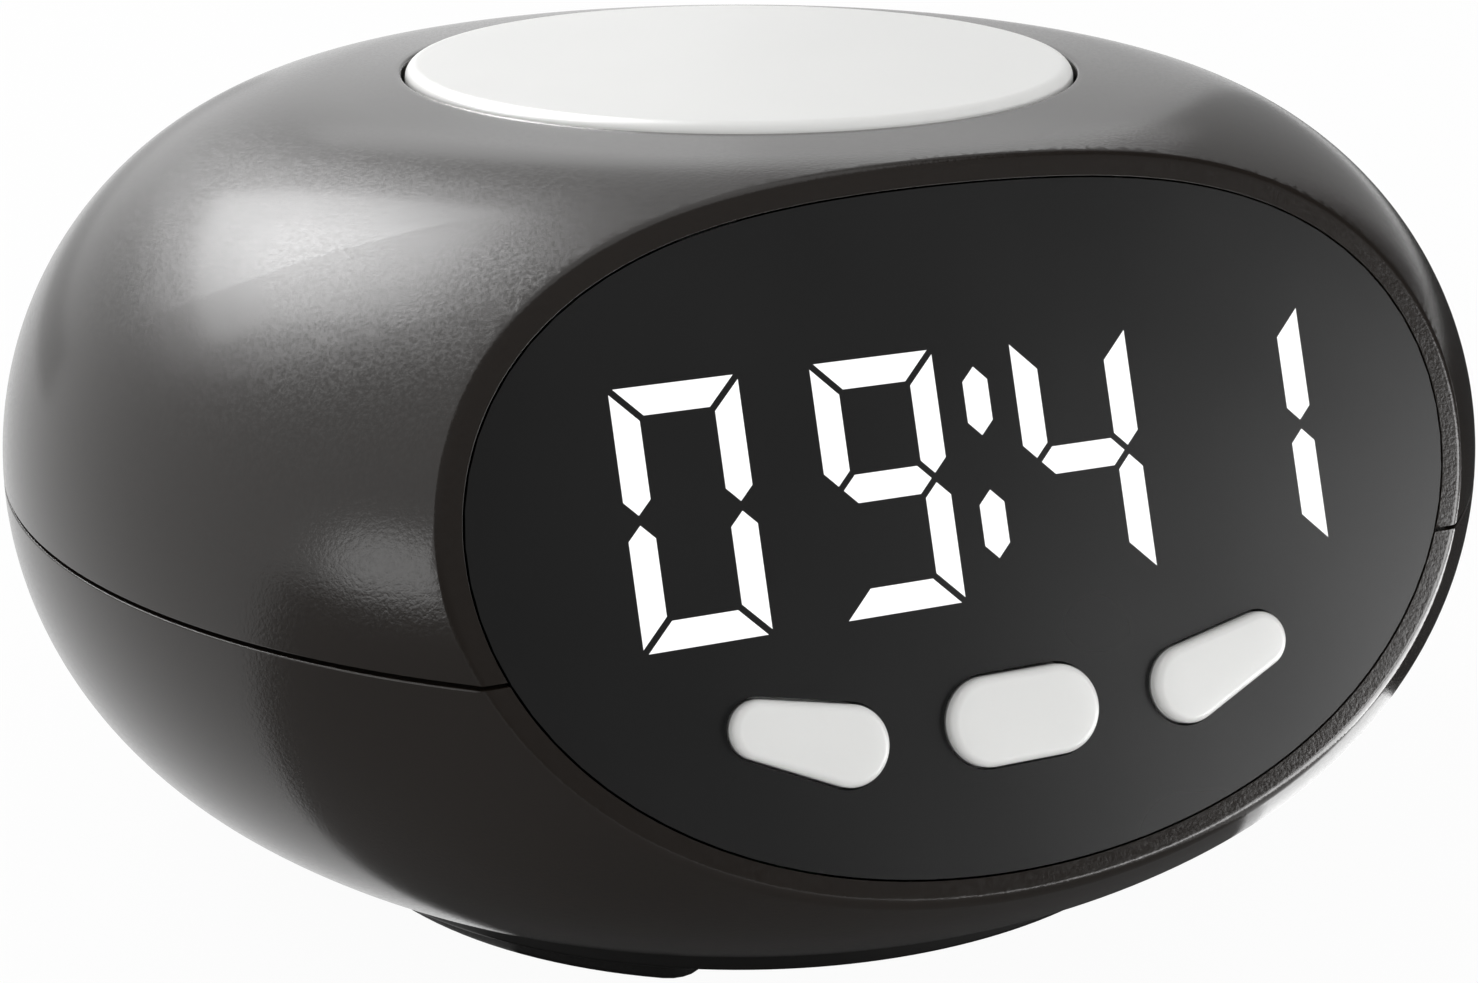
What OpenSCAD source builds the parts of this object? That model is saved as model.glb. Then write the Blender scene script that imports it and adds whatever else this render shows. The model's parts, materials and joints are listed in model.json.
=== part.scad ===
// Talking alarm clock: a round body with full-round edges, a tilted display face,
// one large talk button on top and three keys on the face.
// Millimetres. Z is up, the face looks along -Y, the table is at z = 0, and the
// origin is the middle of the clock's footprint.

/* [Body] */
// Radius of the body at its widest circle
body_r = 62.5; // [58:0.5:70]
// Radius of the full-round side of the body
edge_round_r = 31; // [28:0.5:32]
// Angle above the widest circle where the side meets the crowned deck
deck_join = 84.8; // [83.5:0.1:86]
// Radius of the underside curve
underside_r = 44; // [38:1:52]
// Angle below the widest circle where the side meets the underside curve
underside_join = 50; // [44:1:56]
// Depth of the body below its widest circle
body_drop = 30.9; // [29.5:0.1:32]
// Wall thickness of the housings
wall = 2.2; // [1.6:0.1:2.6]
// Height of the shadow line between the two housings
seam_gap = 0.3; // [0.1:0.05:0.6]
// Depth of the shadow line
seam_depth = 0.9; // [0.5:0.1:1.2]

/* [Base] */
// Radius of the base plate
plinth_r = 40; // [39:0.5:41]
// Height of the base plate's visible wall
plinth_h = 1.3; // [1:0.1:2]
// Thickness that the base plate adds inside the body
plinth_step = 0.5; // [0.3:0.1:1]
// Height of the rubber feet
foot_h = 2.8; // [1.5:0.1:4]
// Outer radius of the rubber feet
foot_r = 36.9; // [36:0.1:38]
// Width of the rubber feet
foot_w = 5.6; // [4:0.1:6.5]
// Angle from the side of the clock to each end of a foot
foot_half_angle = 56.8; // [40:0.1:60]

/* [Face] */
// Backward tilt of the face
face_tilt = 20; // [16:0.5:24]
// Depth of the face's cut into the body at the widest circle
face_cut = 14.5; // [12.5:0.5:16.5]
// Width of the rim around the panel
rim_w = 1.75; // [1.2:0.05:2.5]
// Thickness of the panel
panel_t = 2.2; // [1.8:0.1:3]
// Clearance around the panel
panel_gap = 0.15; // [0.1:0.05:0.3]
// Width of the ledge that the panel lies on
ledge_w = 2; // [1.5:0.1:2.5]
// Thickness of the ledge
ledge_t = 1.8; // [1.2:0.1:2.4]

/* [Digits] */
// Width of a digit
digit_w = 9.75; // [8:0.05:10.5]
// Height of a digit
digit_h = 18.4; // [16:0.1:20]
// Width of a segment
stroke = 2.04; // [1.4:0.02:2.4]
// Half gap between neighbouring segments
seg_gap = 0.34; // [0.2:0.02:0.5]
// Distance between the digits of a pair
digit_pitch = 15.3; // [13:0.1:16]
// Distance from the middle of the face to the nearest digit
pair_offset = 3.19; // [2.6:0.01:4]
// Height of the digits' lower edge above the widest circle, along the face
digit_v = 0.48; // [-1:0.01:2]
// Length of each colon mark
colon_len = 5.03; // [4:0.01:6]
// Middle of the upper colon mark above the digits' lower edge
colon_up = 14.27; // [13:0.01:15]
// Middle of the lower colon mark above the digits' lower edge
colon_low = 5.25; // [4:0.01:6]

/* [Keys] */
// Height of the middle key on the face
key_v = -8.28; // [-9:0.01:-8]
// Half distance between the end circles of the middle key
key_half = 2.85; // [2:0.05:4]
// End radius of the middle key
key_r = 3.28; // [2.8:0.02:3.6]
// Distance of a side key's large end from the middle of the face
side_big_u = 13.94; // [13:0.01:15]
// Height of a side key's large end on the face
side_big_v = -8.19; // [-9:0.01:-7.5]
// Radius of a side key's large end
side_big_r = 2.94; // [2.4:0.02:3.2]
// Distance of a side key's small end from the middle of the face
side_small_u = 20.69; // [19:0.01:22]
// Height of a side key's small end on the face
side_small_v = -5.94; // [-6.5:0.01:-5.4]
// Radius of a side key's small end
side_small_r = 2.13; // [1.8:0.01:2.4]
// Clearance around a key
key_gap = 0.2; // [0.15:0.05:0.3]
// Height of a key above the panel
key_proud = 1; // [0.8:0.1:1.4]
// Rounding of a key's edge
key_edge = 0.7; // [0.4:0.1:0.75]
// Travel of a key
key_travel = 0.6; // [0.3:0.05:0.7]
// Width of the flange that keeps a key in the panel
key_flange_w = 0.8; // [0.5:0.1:1]
// Thickness of that flange
key_flange_t = 1; // [0.8:0.1:1.2]
// Clearance between that flange and the back of the panel
key_seat_gap = 0.1; // [0.05:0.05:0.2]

/* [Talk button] */
// Radius of the talk button
talk_r = 28; // [26:0.25:28.5]
// Clearance around the talk button
talk_gap = 0.3; // [0.2:0.05:0.5]
// Height of the button's shoulder above the deck
talk_proud = 0.7; // [0.5:0.1:1.2]
// Rise of the button's crown from its shoulder to its middle
talk_crown = 0.45; // [0.2:0.05:1]
// Rounding of the button's edge
talk_edge = 1.2; // [0.8:0.1:1.6]
// Travel of the talk button
talk_travel = 1; // [0.6:0.1:1.2]
// Thickness of the button's top
talk_top_t = 2.6; // [2:0.1:3]
// Thickness of the button's skirt
talk_skirt_t = 2; // [1.6:0.1:2.4]
// Depth of the guide collar below the deck's edge
collar_depth = 6.34; // [5:0.01:7]
// Thickness of the guide collar
collar_t = 2; // [1.6:0.1:2.4]
// Reach of the button's flange beyond its skirt
talk_flange_w = 1.5; // [1:0.1:1.8]
// Thickness of the button's flange
talk_flange_t = 1.6; // [1.2:0.1:2]
// Clearance between the button's flange and the collar at rest
talk_seat_gap = 0.1; // [0.05:0.05:0.2]

/* [Inside] */
// Length of the talk button's return springs
spring_len = 14.5; // [13:0.5:16]
// Outer radius of a return spring
spring_r = 3.6; // [3:0.1:4]
// Distance of the return springs from the axis
spring_ring_r = 18; // [16:0.5:19]
// Thickness of the circuit boards
board_t = 1.6; // [1:0.1:2]
// Depth of the light box behind the panel
light_box_t = 5; // [4:0.1:6]
// Height of the main board above the table
main_board_z = 24; // [23:0.5:26]
// Outer radius of the speaker
speaker_r = 16; // [14:0.25:16]
// Clearance between the speaker and the battery well
speaker_well_gap = 1.7; // [1:0.1:2]
// Radius of the battery cap
cap_r = 11.7; // [11:0.1:11.8]
// Radius of the coin cell
cell_r = 10; // [8:0.5:10]
// Thickness of the coin cell
cell_t = 3.2; // [2:0.1:3.2]
// Radius of the screws
screw_r = 1.2; // [1:0.05:1.3]

/* [Hidden] */
$fn = 48;
body_fn = 120;

// Colours
charcoal = [0.28, 0.27, 0.26];
black = [0.07, 0.07, 0.07];
white = [0.93, 0.93, 0.92];
board_green = [0.1, 0.35, 0.2];
steel = [0.75, 0.75, 0.77];
copper = [0.75, 0.45, 0.25];

// A small overlap that makes cuts run clear through
eps = 0.5;
screw_hole_r = screw_r + 0.05;
screw_pass_r = screw_r + 0.3;

// Body curve, in radius and height from the widest circle
round_x = body_r - edge_round_r;
face_y = body_r - face_cut;
deck_z = -round_x * tan(deck_join);
deck_r = edge_round_r + round_x / cos(deck_join);
under_step = underside_r - edge_round_r;
under_x = round_x - under_step * cos(underside_join);
under_z = under_step * sin(underside_join);
equator_z = foot_h + plinth_h + body_drop;
body_bottom_z = foot_h + plinth_h;
front_t = panel_t + ledge_t;

// Radius of the body at a height from the widest circle
function root(q) = q > 0 ? sqrt(q) : 0;
function side_radius(z) = round_x + root(edge_round_r ^ 2 - z ^ 2);
function deck_radius(z) = root(deck_r ^ 2 - (z - deck_z) ^ 2);
function under_radius(z) = under_x + root(underside_r ^ 2 - (z - under_z) ^ 2);
function body_radius(z) =
    z > edge_round_r * sin(deck_join) ? deck_radius(z)
    : z < -edge_round_r * sin(underside_join) ? under_radius(z)
    : side_radius(z);

// Height of the deck above the widest circle at a radius
function deck_height(r) = deck_z + sqrt(deck_r ^ 2 - r ^ 2);

// Outline of the face: the curve in which the tilted plane cuts the body
face_steps = 96;
face_mid_v = 7;
function on_body(u, v) =
    u ^ 2 + (v * sin(face_tilt) - face_y) ^ 2 < body_radius(v * cos(face_tilt)) ^ 2;
function ray_length(a, low, high, n) =
    let (mid = (low + high) / 2)
    n == 0 ? mid
    : on_body(mid * cos(a), face_mid_v + mid * sin(a)) ? ray_length(a, mid, high, n - 1)
    : ray_length(a, low, mid, n - 1);
function face_point(a) =
    let (len = ray_length(a, 0, body_r, 24))
    [len * cos(a), face_mid_v + len * sin(a)];
face_curve = [for (i = [0 : face_steps - 1]) face_point(360 * i / face_steps)];
function unit(p) = p / norm(p);
function face_side(v) =
    root(body_radius(v * cos(face_tilt)) ^ 2 - (face_y - v * sin(face_tilt)) ^ 2);
function moved_in(i, d) =
    let (t = unit(face_curve[(i + 1) % face_steps] - face_curve[(i + face_steps - 1) % face_steps]))
    face_curve[i] + d * [-t[1], t[0]];
function face_outline(d) = [for (i = [0 : face_steps - 1]) moved_in(i, d)];

// The body's axis stands behind the origin by as much as centres the footprint
front_y = face_point(-90)[1] * sin(face_tilt) - face_y;
axis_y = -(body_r + front_y) / 2;

// Talk button heights
deck_edge_z = equator_z + deck_height(talk_r + talk_gap);
shoulder_z = deck_edge_z + talk_proud;
button_under_z = shoulder_z - talk_top_t;
collar_bottom_z = deck_edge_z - collar_depth;
flange_top_z = collar_bottom_z - talk_seat_gap;
flange_bottom_z = flange_top_z - talk_flange_t;
carrier_top_z = button_under_z - spring_len;
carrier_t = 2;
carrier_r = 27;
carrier_post_r = 2.8;
carrier_ear_r = carrier_post_r + 1;
carrier_posts = [[25.7, -21.5], [-25.7, -21.5], [25.7, 21.5], [-25.7, 21.5]];
carrier_screw_len = 9;
spring_wire = 0.8;
spring_angles = [30, 150, 270];
spring_cup_h = 3;
spring_cup_t = 1;
spring_cup_gap = 0.4;
spring_pin_r = spring_r - spring_wire - 0.5;
talk_board_size = [18, 25];
talk_board_front = 9;
talk_switch_w = 12;
talk_switch_h = 4.3;
talk_switch_floor = 1;
talk_plunger_r = 3;
talk_plunger_out = 3;
talk_boss_r = 5;
talk_plunger_top = carrier_top_z + board_t + talk_switch_h + talk_plunger_out;
talk_lead_y = 12.5;
talk_lead_r = 0.7;
talk_lead_x = 0.8;
plunger_gap = 0.05;
touch_gap = 0.05;

// Posts that the two housings are screwed together with
post_ring_r = 35.5;
post_angles = [-15, 195, 55, 125];
upper_post_r = 3.5;
lower_post_r = 4.2;
head_well_r = 2.8;
housing_screw_grip = 6;
housing_screw_len = 14;
head_well_top = equator_z - housing_screw_grip;
floor_t = 2.4;
lip_t = 1.2;
lip_h = 1.6;
lip_gap = 0.1;

// The floor's opening holds the speaker in front and the battery well behind it
cap_gap = 0.3;
well_wall = 2.3;
well_r = cap_r + cap_gap;
well_out_r = well_r + well_wall;
floor_open_gap = 0.3;
speaker_side_gap = 0.5;
well_side_gap = 0.2;
floor_open_r = speaker_r + well_out_r + (speaker_side_gap + speaker_well_gap + well_side_gap) / 2;
speaker_y = floor_open_r - speaker_side_gap - speaker_r;
cap_y = floor_open_r - well_side_gap - well_out_r;

// Screws that hold the base plate
base_screw_ring_r = floor_open_r + 4;
base_screw_angles = [72, 108, 252, 288];
base_boss_r = 3;
base_boss_h = 5;
base_screw_bite = 3;
csk_r = 2.4;

// Display parts behind the face, along the face's outward normal
panel_back = -panel_t;
board_front = panel_back - light_box_t;
board_back = board_front - board_t;
light_box_margin = 1.5;
panel_boss_r = 2.2;
side_boss_v = 10;
side_boss_u = face_side(side_boss_v) - 7.7;
top_boss = [14, 24];
low_boss_v = -15.2;
panel_bosses = [
    [-side_boss_u, side_boss_v], [side_boss_u, side_boss_v], [-top_boss[0], top_boss[1]], top_boss,
    [0, low_boss_v]
];
display_screw_len = 5.5;
display_half_w = side_boss_u + 3;
display_ends = [-17.8, 26.5];
display_end_half = 20;
display_sides = [-2, 18];
display_corners = [
    [-display_half_w, display_sides[0]], [-display_end_half, display_ends[0]],
    [display_end_half, display_ends[0]], [display_half_w, display_sides[0]],
    [display_half_w, display_sides[1]], [display_end_half, display_ends[1]],
    [-display_end_half, display_ends[1]], [-display_half_w, display_sides[1]]
];
led_size = [1.6, 0.8, 0.6];

// Key parts behind the panel
key_flange_front = panel_back - key_seat_gap;
key_flange_back = key_flange_front - key_flange_t;
switch_w = 6;
switch_floor = 1;
switch_top = key_flange_back - key_travel - 0.2;
key_plunger_r = 1.75;
key_plunger_in = 0.9;
key_plunger_top = key_flange_back - touch_gap;

// Battery well and cap
cap_z = foot_h + 0.2;
cap_t = 2;
lug_r = cap_r + 1;
lug_groove_z = cap_z + cap_t + 0.2;
lug_groove_h = 1.6;
lug_gap = 0.2;
lug_angles = [30, 150, 270];
lug_half_angle = 12;
cap_turn = 45;
cell_z = cap_z + cap_t + 1.65;
well_ceiling_z = cell_z + cell_t + 1.35;
well_ceiling_t = 1.5;
coin_slot = [14, 1.6, 1];
cell_rim = [1, 0.4];
leaf_w = 4;
leaf_t = 0.3;
contact_x = 6;
contact_pin_out = 0.8;
lead_r = 0.6;
lead_gap = 0.2;

// Speaker
grille_r = speaker_r - 3;
slot_w = 2;
slot_pitch = 4.4;
plate_top_z = foot_h + plinth_h + plinth_step;
speaker_flange_t = 1.2;
speaker_depth = 12.4;
basket_t = 1;
basket_rim = 3;
basket_neck = 0.56 * speaker_r;
basket_hole = 0.3 * speaker_r;
terminal_tab = [6, 1.4, 4.4];
magnet_r = 0.55 * speaker_r;
magnet_t = 5;
cone_r = speaker_r - basket_rim - 0.2;
cone_z = 0.3;
cone_t = 0.4;
coil_r = 0.3 * speaker_r;
coil_top = 5.2;
clamp_t = 1;
clamp_lap = 1.4;
clamp_screw_len = 3;
clamp_low = [speaker_r + 2.5, -speaker_y - 5];
clamp_high = [speaker_r - 2.5, speaker_r - speaker_y - 0.5];
clamp_bosses = [clamp_low, clamp_high, [-clamp_low[0], clamp_low[1]], [-clamp_high[0], clamp_high[1]]];
clamp_boss_r = 2.2;
speaker_lead_x = 1.5;

// Main board and power inlet
main_board_size = [51, 35];
main_board_mid_y = 3.5;
main_posts = [[22, -10], [-22, -10], [20, 17], [-20, 17]];
main_post_r = 2.5;
main_screw_len = 9;
main_board_top = main_board_z + board_t;
board_front_y = main_board_mid_y - main_board_size[1] / 2;
board_back_y = main_board_mid_y + main_board_size[1] / 2;
chip_size = [10, 10, 1.6];
chip_at = [-14, 0];
capacitor_r = 3.2;
capacitor_h = 8;
capacitors = [[14, -4], [14, 4]];
inductor_size = [3.8, 9, 3];
inductor_at = [5, -8];
header_size = [18, 3, 3.4];
header_y = board_front_y + 0.6;
display_header_size = [18, 3, 3];
display_header_v = -3;
ribbon_w = 14;
ribbon_t = 0.6;
usb_w = 8.94;
usb_h = 3.26;
usb_len = 7.3;
usb_gap = 0.2;
usb_shell_t = 0.35;
usb_back_t = 1;
usb_tongue = [6.6, 0.7];
usb_set_back = 0.6;
usb_z = main_board_top + usb_h / 2;
usb_out_y = body_radius(usb_z - equator_z) - usb_set_back;
usb_overhang = 4.41;
inlet_board_size = [20, 15];
inlet_board_y = usb_out_y - usb_overhang - inlet_board_size[1];
inlet_post_x = 6.5;
inlet_post_y = inlet_board_y + 4;
inlet_screw_len = 6;
inlet_lead_size = [7, 0.8];
inlet_lead_laps = [3, 2];
pan_head_r = 2.4;
pan_head_h = 1.5;

// Placing
module place() {
    translate([0, axis_y, 0]) children();
}
module on_face() {
    translate([0, -face_y, equator_z]) rotate([90 - face_tilt, 0, 0]) children();
}
module behind_face(depth) {
    on_face() translate([-150, -150, -300 - depth]) cube([300, 300, 300]);
}
module in_front_of_face() {
    on_face() translate([-150, -150, 0]) cube([300, 300, 100]);
}
module face_prism(inset, z0, z1) {
    on_face() translate([0, 0, z0]) linear_extrude(z1 - z0) polygon(face_outline(inset));
}
module at_ring(r, angles) {
    for (a = angles) translate([r * cos(a), r * sin(a), 0]) children();
}
module at_each(points) {
    for (p = points) translate([p[0], p[1], 0]) children();
}

// Flat bar with a round end, from one point to another
module arm(start, end, r, h) {
    step = end - start;
    translate([end[0], end[1], 0]) cylinder(r = r, h = h);
    translate([start[0], start[1], 0]) rotate(atan2(step[1], step[0])) translate([0, -0.8 * r, 0])
        cube([norm(step), 1.6 * r, h]);
}

// Body solid, inset by a wall
module upper_section(inset) {
    reach = edge_round_r + 10;
    intersection() {
        union() {
            translate([round_x, 0]) circle(edge_round_r - inset, $fn = body_fn);
            intersection() {
                translate([0, deck_z]) circle(deck_r - inset, $fn = 8 * body_fn);
                polygon([
                    [0, 0], [round_x, 0],
                    [round_x + reach * cos(deck_join), reach * sin(deck_join)],
                    [0, reach * sin(deck_join)]
                ]);
            }
        }
        square([body_r + 1, body_r]);
    }
}
module lower_section(inset) {
    reach = edge_round_r + 10;
    floor_z = body_drop - (inset > 0 ? floor_t : 0);
    intersection() {
        union() {
            translate([round_x, 0]) circle(edge_round_r - inset, $fn = body_fn);
            intersection() {
                translate([under_x, under_z]) circle(underside_r - inset, $fn = 2 * body_fn);
                polygon([
                    [under_x, 0], [round_x, 0],
                    [round_x + reach * cos(underside_join), -reach * sin(underside_join)],
                    [under_x, -reach * sin(underside_join)]
                ]);
            }
            translate([0, -body_drop]) square([round_x, body_drop]);
        }
        translate([0, -floor_z]) square([body_r + 1, floor_z]);
    }
}
module body_solid(inset) {
    translate([0, 0, equator_z]) rotate_extrude($fn = body_fn) {
        upper_section(inset);
        lower_section(inset);
    }
}
module upper_solid() {
    translate([0, 0, equator_z]) rotate_extrude($fn = body_fn) upper_section(0);
}
module lower_solid() {
    translate([0, 0, equator_z]) rotate_extrude($fn = body_fn) lower_section(0);
}
module cavity() {
    intersection() {
        body_solid(wall);
        behind_face(front_t);
    }
}
module seam_cut(z0) {
    difference() {
        translate([0, 0, z0]) cylinder(r = body_r + 1, h = seam_gap / 2);
        intersection() {
            translate([0, 0, z0 - 1]) cylinder(r = body_r - seam_depth, h = seam_gap + 2);
            behind_face(seam_depth);
        }
    }
}
module face_cuts() {
    in_front_of_face();
    face_prism(rim_w, -panel_t, eps);
    face_prism(rim_w + ledge_w, -front_t - eps, eps);
}

// Housings
module upper_housing() {
    color(charcoal) place() difference() {
        union() {
            difference() {
                upper_solid();
                cavity();
            }
            intersection() {
                union() {
                    at_ring(post_ring_r, post_angles)
                        translate([0, 0, equator_z]) cylinder(r = upper_post_r, h = edge_round_r);
                    at_each(carrier_posts)
                        translate([0, 0, carrier_top_z]) cylinder(r = carrier_post_r, h = edge_round_r);
                    translate([0, 0, collar_bottom_z])
                        cylinder(r = talk_r + talk_gap + collar_t, h = collar_depth);
                }
                body_solid(wall / 2);
            }
        }
        face_cuts();
        seam_cut(equator_z);
        translate([0, 0, collar_bottom_z - eps])
            cylinder(r = talk_r + talk_gap, h = 2 * collar_depth, $fn = body_fn);
        at_ring(post_ring_r, post_angles)
            translate([0, 0, equator_z - eps])
                cylinder(r = screw_hole_r, h = housing_screw_len - housing_screw_grip + 2);
        at_each(carrier_posts)
            translate([0, 0, carrier_top_z - eps]) cylinder(r = screw_hole_r, h = carrier_screw_len);
    }
}
module lip() {
    lip_r = body_radius(0) - wall - lip_gap;
    intersection() {
        difference() {
            union() {
                translate([0, 0, equator_z - 2 * lip_h])
                    cylinder(r = body_r - wall / 2, h = 2 * lip_h, $fn = body_fn);
                translate([0, 0, equator_z - eps]) cylinder(r = lip_r, h = lip_h + eps, $fn = body_fn);
            }
            translate([0, 0, equator_z - 2 * lip_h - eps])
                cylinder(r = lip_r - lip_t, h = 4 * lip_h + eps, $fn = body_fn);
        }
        behind_face(front_t + lip_gap);
    }
}
module lower_housing() {
    color(charcoal) place() difference() {
        union() {
            difference() {
                lower_solid();
                cavity();
            }
            lip();
            intersection() {
                union() {
                    at_ring(post_ring_r, post_angles)
                        translate([0, 0, body_bottom_z]) cylinder(r = lower_post_r, h = body_drop);
                    at_ring(base_screw_ring_r, base_screw_angles)
                        translate([0, 0, body_bottom_z]) cylinder(r = base_boss_r, h = floor_t + base_boss_h);
                    for (s = [-1, 1])
                        translate([s * inlet_post_x, inlet_post_y, body_bottom_z])
                            cylinder(r = main_post_r, h = main_board_z - body_bottom_z);
                }
                body_solid(wall / 2);
                translate([0, 0, body_bottom_z]) cylinder(r = body_r, h = body_drop);
            }
        }
        face_cuts();
        seam_cut(equator_z - seam_gap / 2);
        translate([0, 0, body_bottom_z - eps])
            cylinder(r = floor_open_r, h = floor_t + 2 * eps, $fn = body_fn);
        at_ring(post_ring_r, post_angles) {
            translate([0, 0, body_bottom_z - eps])
                cylinder(r = head_well_r, h = head_well_top - body_bottom_z + eps);
            translate([0, 0, body_bottom_z]) cylinder(r = screw_pass_r, h = body_drop + eps);
        }
        at_ring(base_screw_ring_r, base_screw_angles)
            translate([0, 0, body_bottom_z - eps]) cylinder(r = screw_hole_r, h = floor_t + base_boss_h);
        for (s = [-1, 1])
            translate([s * inlet_post_x, inlet_post_y, main_board_z - inlet_screw_len])
                cylinder(r = screw_hole_r, h = inlet_screw_len + eps);
        usb_hole();
    }
}
module usb_section(grow) {
    end_r = usb_h / 2 + grow;
    side = usb_w / 2 - usb_h / 2;
    for (s = [-1, 1]) translate([s * side, 0]) circle(end_r);
    square([2 * side, 2 * end_r], center = true);
}
module usb_hole() {
    translate([0, usb_out_y - usb_len, usb_z]) rotate([-90, 0, 0])
        linear_extrude(usb_len + 2) usb_section(usb_gap);
}

// Base
module grille_slots() {
    count = floor(grille_r / slot_pitch);
    for (i = [-count : count]) {
        half = sqrt(grille_r ^ 2 - (i * slot_pitch) ^ 2) - slot_w / 2;
        translate([0, i * slot_pitch - speaker_y, foot_h - eps])
            linear_extrude(plinth_h + plinth_step + 2 * eps) {
                square([2 * half, slot_w], center = true);
                for (s = [-1, 1]) translate([s * half, 0]) circle(slot_w / 2, $fn = 24);
            }
    }
}
module base_plate() {
    well_top_z = well_ceiling_z + well_ceiling_t;
    color(black) place() difference() {
        union() {
            translate([0, 0, foot_h]) cylinder(r = plinth_r, h = plinth_h, $fn = body_fn);
            translate([0, 0, foot_h])
                cylinder(r = floor_open_r - floor_open_gap, h = plinth_h + plinth_step, $fn = body_fn);
            translate([0, cap_y, foot_h]) cylinder(r = well_out_r, h = well_top_z - foot_h);
            at_each(main_posts)
                translate([0, 0, foot_h]) cylinder(r = main_post_r, h = main_board_z - foot_h);
            at_each(clamp_bosses)
                translate([0, 0, foot_h])
                    cylinder(r = clamp_boss_r, h = plate_top_z + speaker_flange_t - foot_h);
        }
        grille_slots();
        at_ring(base_screw_ring_r, base_screw_angles) {
            translate([0, 0, foot_h]) cylinder(r1 = csk_r, r2 = screw_r + 0.1, h = plinth_h);
            translate([0, 0, foot_h - eps]) cylinder(r = screw_r + 0.1, h = plinth_h + 2 * eps);
        }
        at_each(main_posts)
            translate([0, 0, main_board_z - main_screw_len - 1])
                cylinder(r = screw_hole_r, h = main_screw_len + 1 + eps);
        at_each(clamp_bosses)
            translate([0, 0, plate_top_z + speaker_flange_t + clamp_t - clamp_screw_len])
                cylinder(r = screw_hole_r, h = clamp_screw_len);
        translate([0, cap_y, 0]) {
            translate([0, 0, foot_h - eps]) cylinder(r = well_r, h = well_ceiling_z - foot_h + eps);
            translate([0, 0, lug_groove_z]) cylinder(r = lug_r + cap_gap, h = lug_groove_h);
            for (a = lug_angles) rotate(a - cap_turn) translate([0, 0, foot_h - eps])
                lug_sector(lug_r + cap_gap, lug_half_angle + 3, lug_groove_z - foot_h + 2 * eps);
            for (s = [-1, 1]) translate([s * contact_x, 0, well_ceiling_z - eps])
                cylinder(r = lead_r + lead_gap, h = well_ceiling_t + 2 * eps, $fn = 24);
        }
    }
}
module lug_sector(r, half, h) {
    intersection() {
        cylinder(r = r, h = h);
        linear_extrude(h) polygon([
            [0, 0], 2 * r * [cos(-half), sin(-half)], 2 * r * [1, 0], 2 * r * [cos(half), sin(half)]
        ]);
    }
}
module foot() {
    mid_r = foot_r - foot_w / 2;
    rotate_extrude(angle = 2 * foot_half_angle, start = 180 - foot_half_angle, $fn = body_fn)
        translate([mid_r - foot_w / 2, 0]) square([foot_w, foot_h]);
    for (a = [180 - foot_half_angle, 180 + foot_half_angle])
        translate([mid_r * cos(a), mid_r * sin(a), 0]) cylinder(r = foot_w / 2, h = foot_h);
}
module left_foot() {
    color(black) place() foot();
}
module right_foot() {
    color(black) place() mirror([1, 0, 0]) foot();
}
module battery_cap() {
    color(black) place() translate([0, cap_y, 0]) difference() {
        union() {
            translate([0, 0, cap_z]) cylinder(r = cap_r, h = cap_t);
            translate([0, 0, cap_z + cap_t - eps]) cylinder(r = cap_r, h = lug_groove_h + eps);
            for (a = lug_angles) rotate(a) translate([0, 0, lug_groove_z + lug_gap])
                lug_sector(lug_r, lug_half_angle, lug_groove_h - 2 * lug_gap);
        }
        translate([-coin_slot[0] / 2, -coin_slot[1] / 2, cap_z - eps])
            cube(coin_slot + [0, 0, eps]);
    }
}
module coin_cell() {
    color(steel) place() translate([0, cap_y, cell_z]) {
        cylinder(r = cell_r - cell_rim[0], h = cell_t);
        translate([0, 0, cell_rim[1]]) cylinder(r = cell_r, h = cell_t - cell_rim[1]);
    }
}
module contact_pin(x) {
    translate([x, 0, well_ceiling_z - leaf_t])
        cylinder(r = lead_r, h = leaf_t + well_ceiling_t + contact_pin_out, $fn = 24);
}
module cell_spring_contact() {
    leaf_top = well_ceiling_z - cell_z - cell_t;
    color(copper) place() translate([0, cap_y, 0]) {
        translate([0, leaf_w / 2, cell_z + cell_t]) rotate([90, 0, 0]) linear_extrude(leaf_w)
            polygon([
                [-contact_x - 1.5, leaf_top - leaf_t], [-contact_x + 1.5, leaf_top - leaf_t], [0, 0],
                [2, 0], [2, leaf_t], [0.1, leaf_t], [-contact_x + 1.6, leaf_top],
                [-contact_x - 1.5, leaf_top]
            ]);
        contact_pin(-contact_x);
    }
}
module cell_side_contact() {
    bend_x = (cell_r + well_r) / 2;
    leaf_top = well_ceiling_z - leaf_t;
    color(copper) place() translate([0, cap_y, 0]) {
        translate([0, leaf_w / 2, 0]) rotate([90, 0, 0]) linear_extrude(leaf_w)
            polygon([
                [contact_x - 1, leaf_top], [bend_x + leaf_t, leaf_top], [bend_x + leaf_t, cell_z + cell_t],
                [cell_r + 0.1 + leaf_t, cell_z + 0.8], [cell_r + 0.1, cell_z + 0.8],
                [bend_x, cell_z + cell_t + 0.05], [bend_x, leaf_top - leaf_t],
                [contact_x - 1, leaf_top - leaf_t]
            ]);
        contact_pin(contact_x);
    }
}

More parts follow.
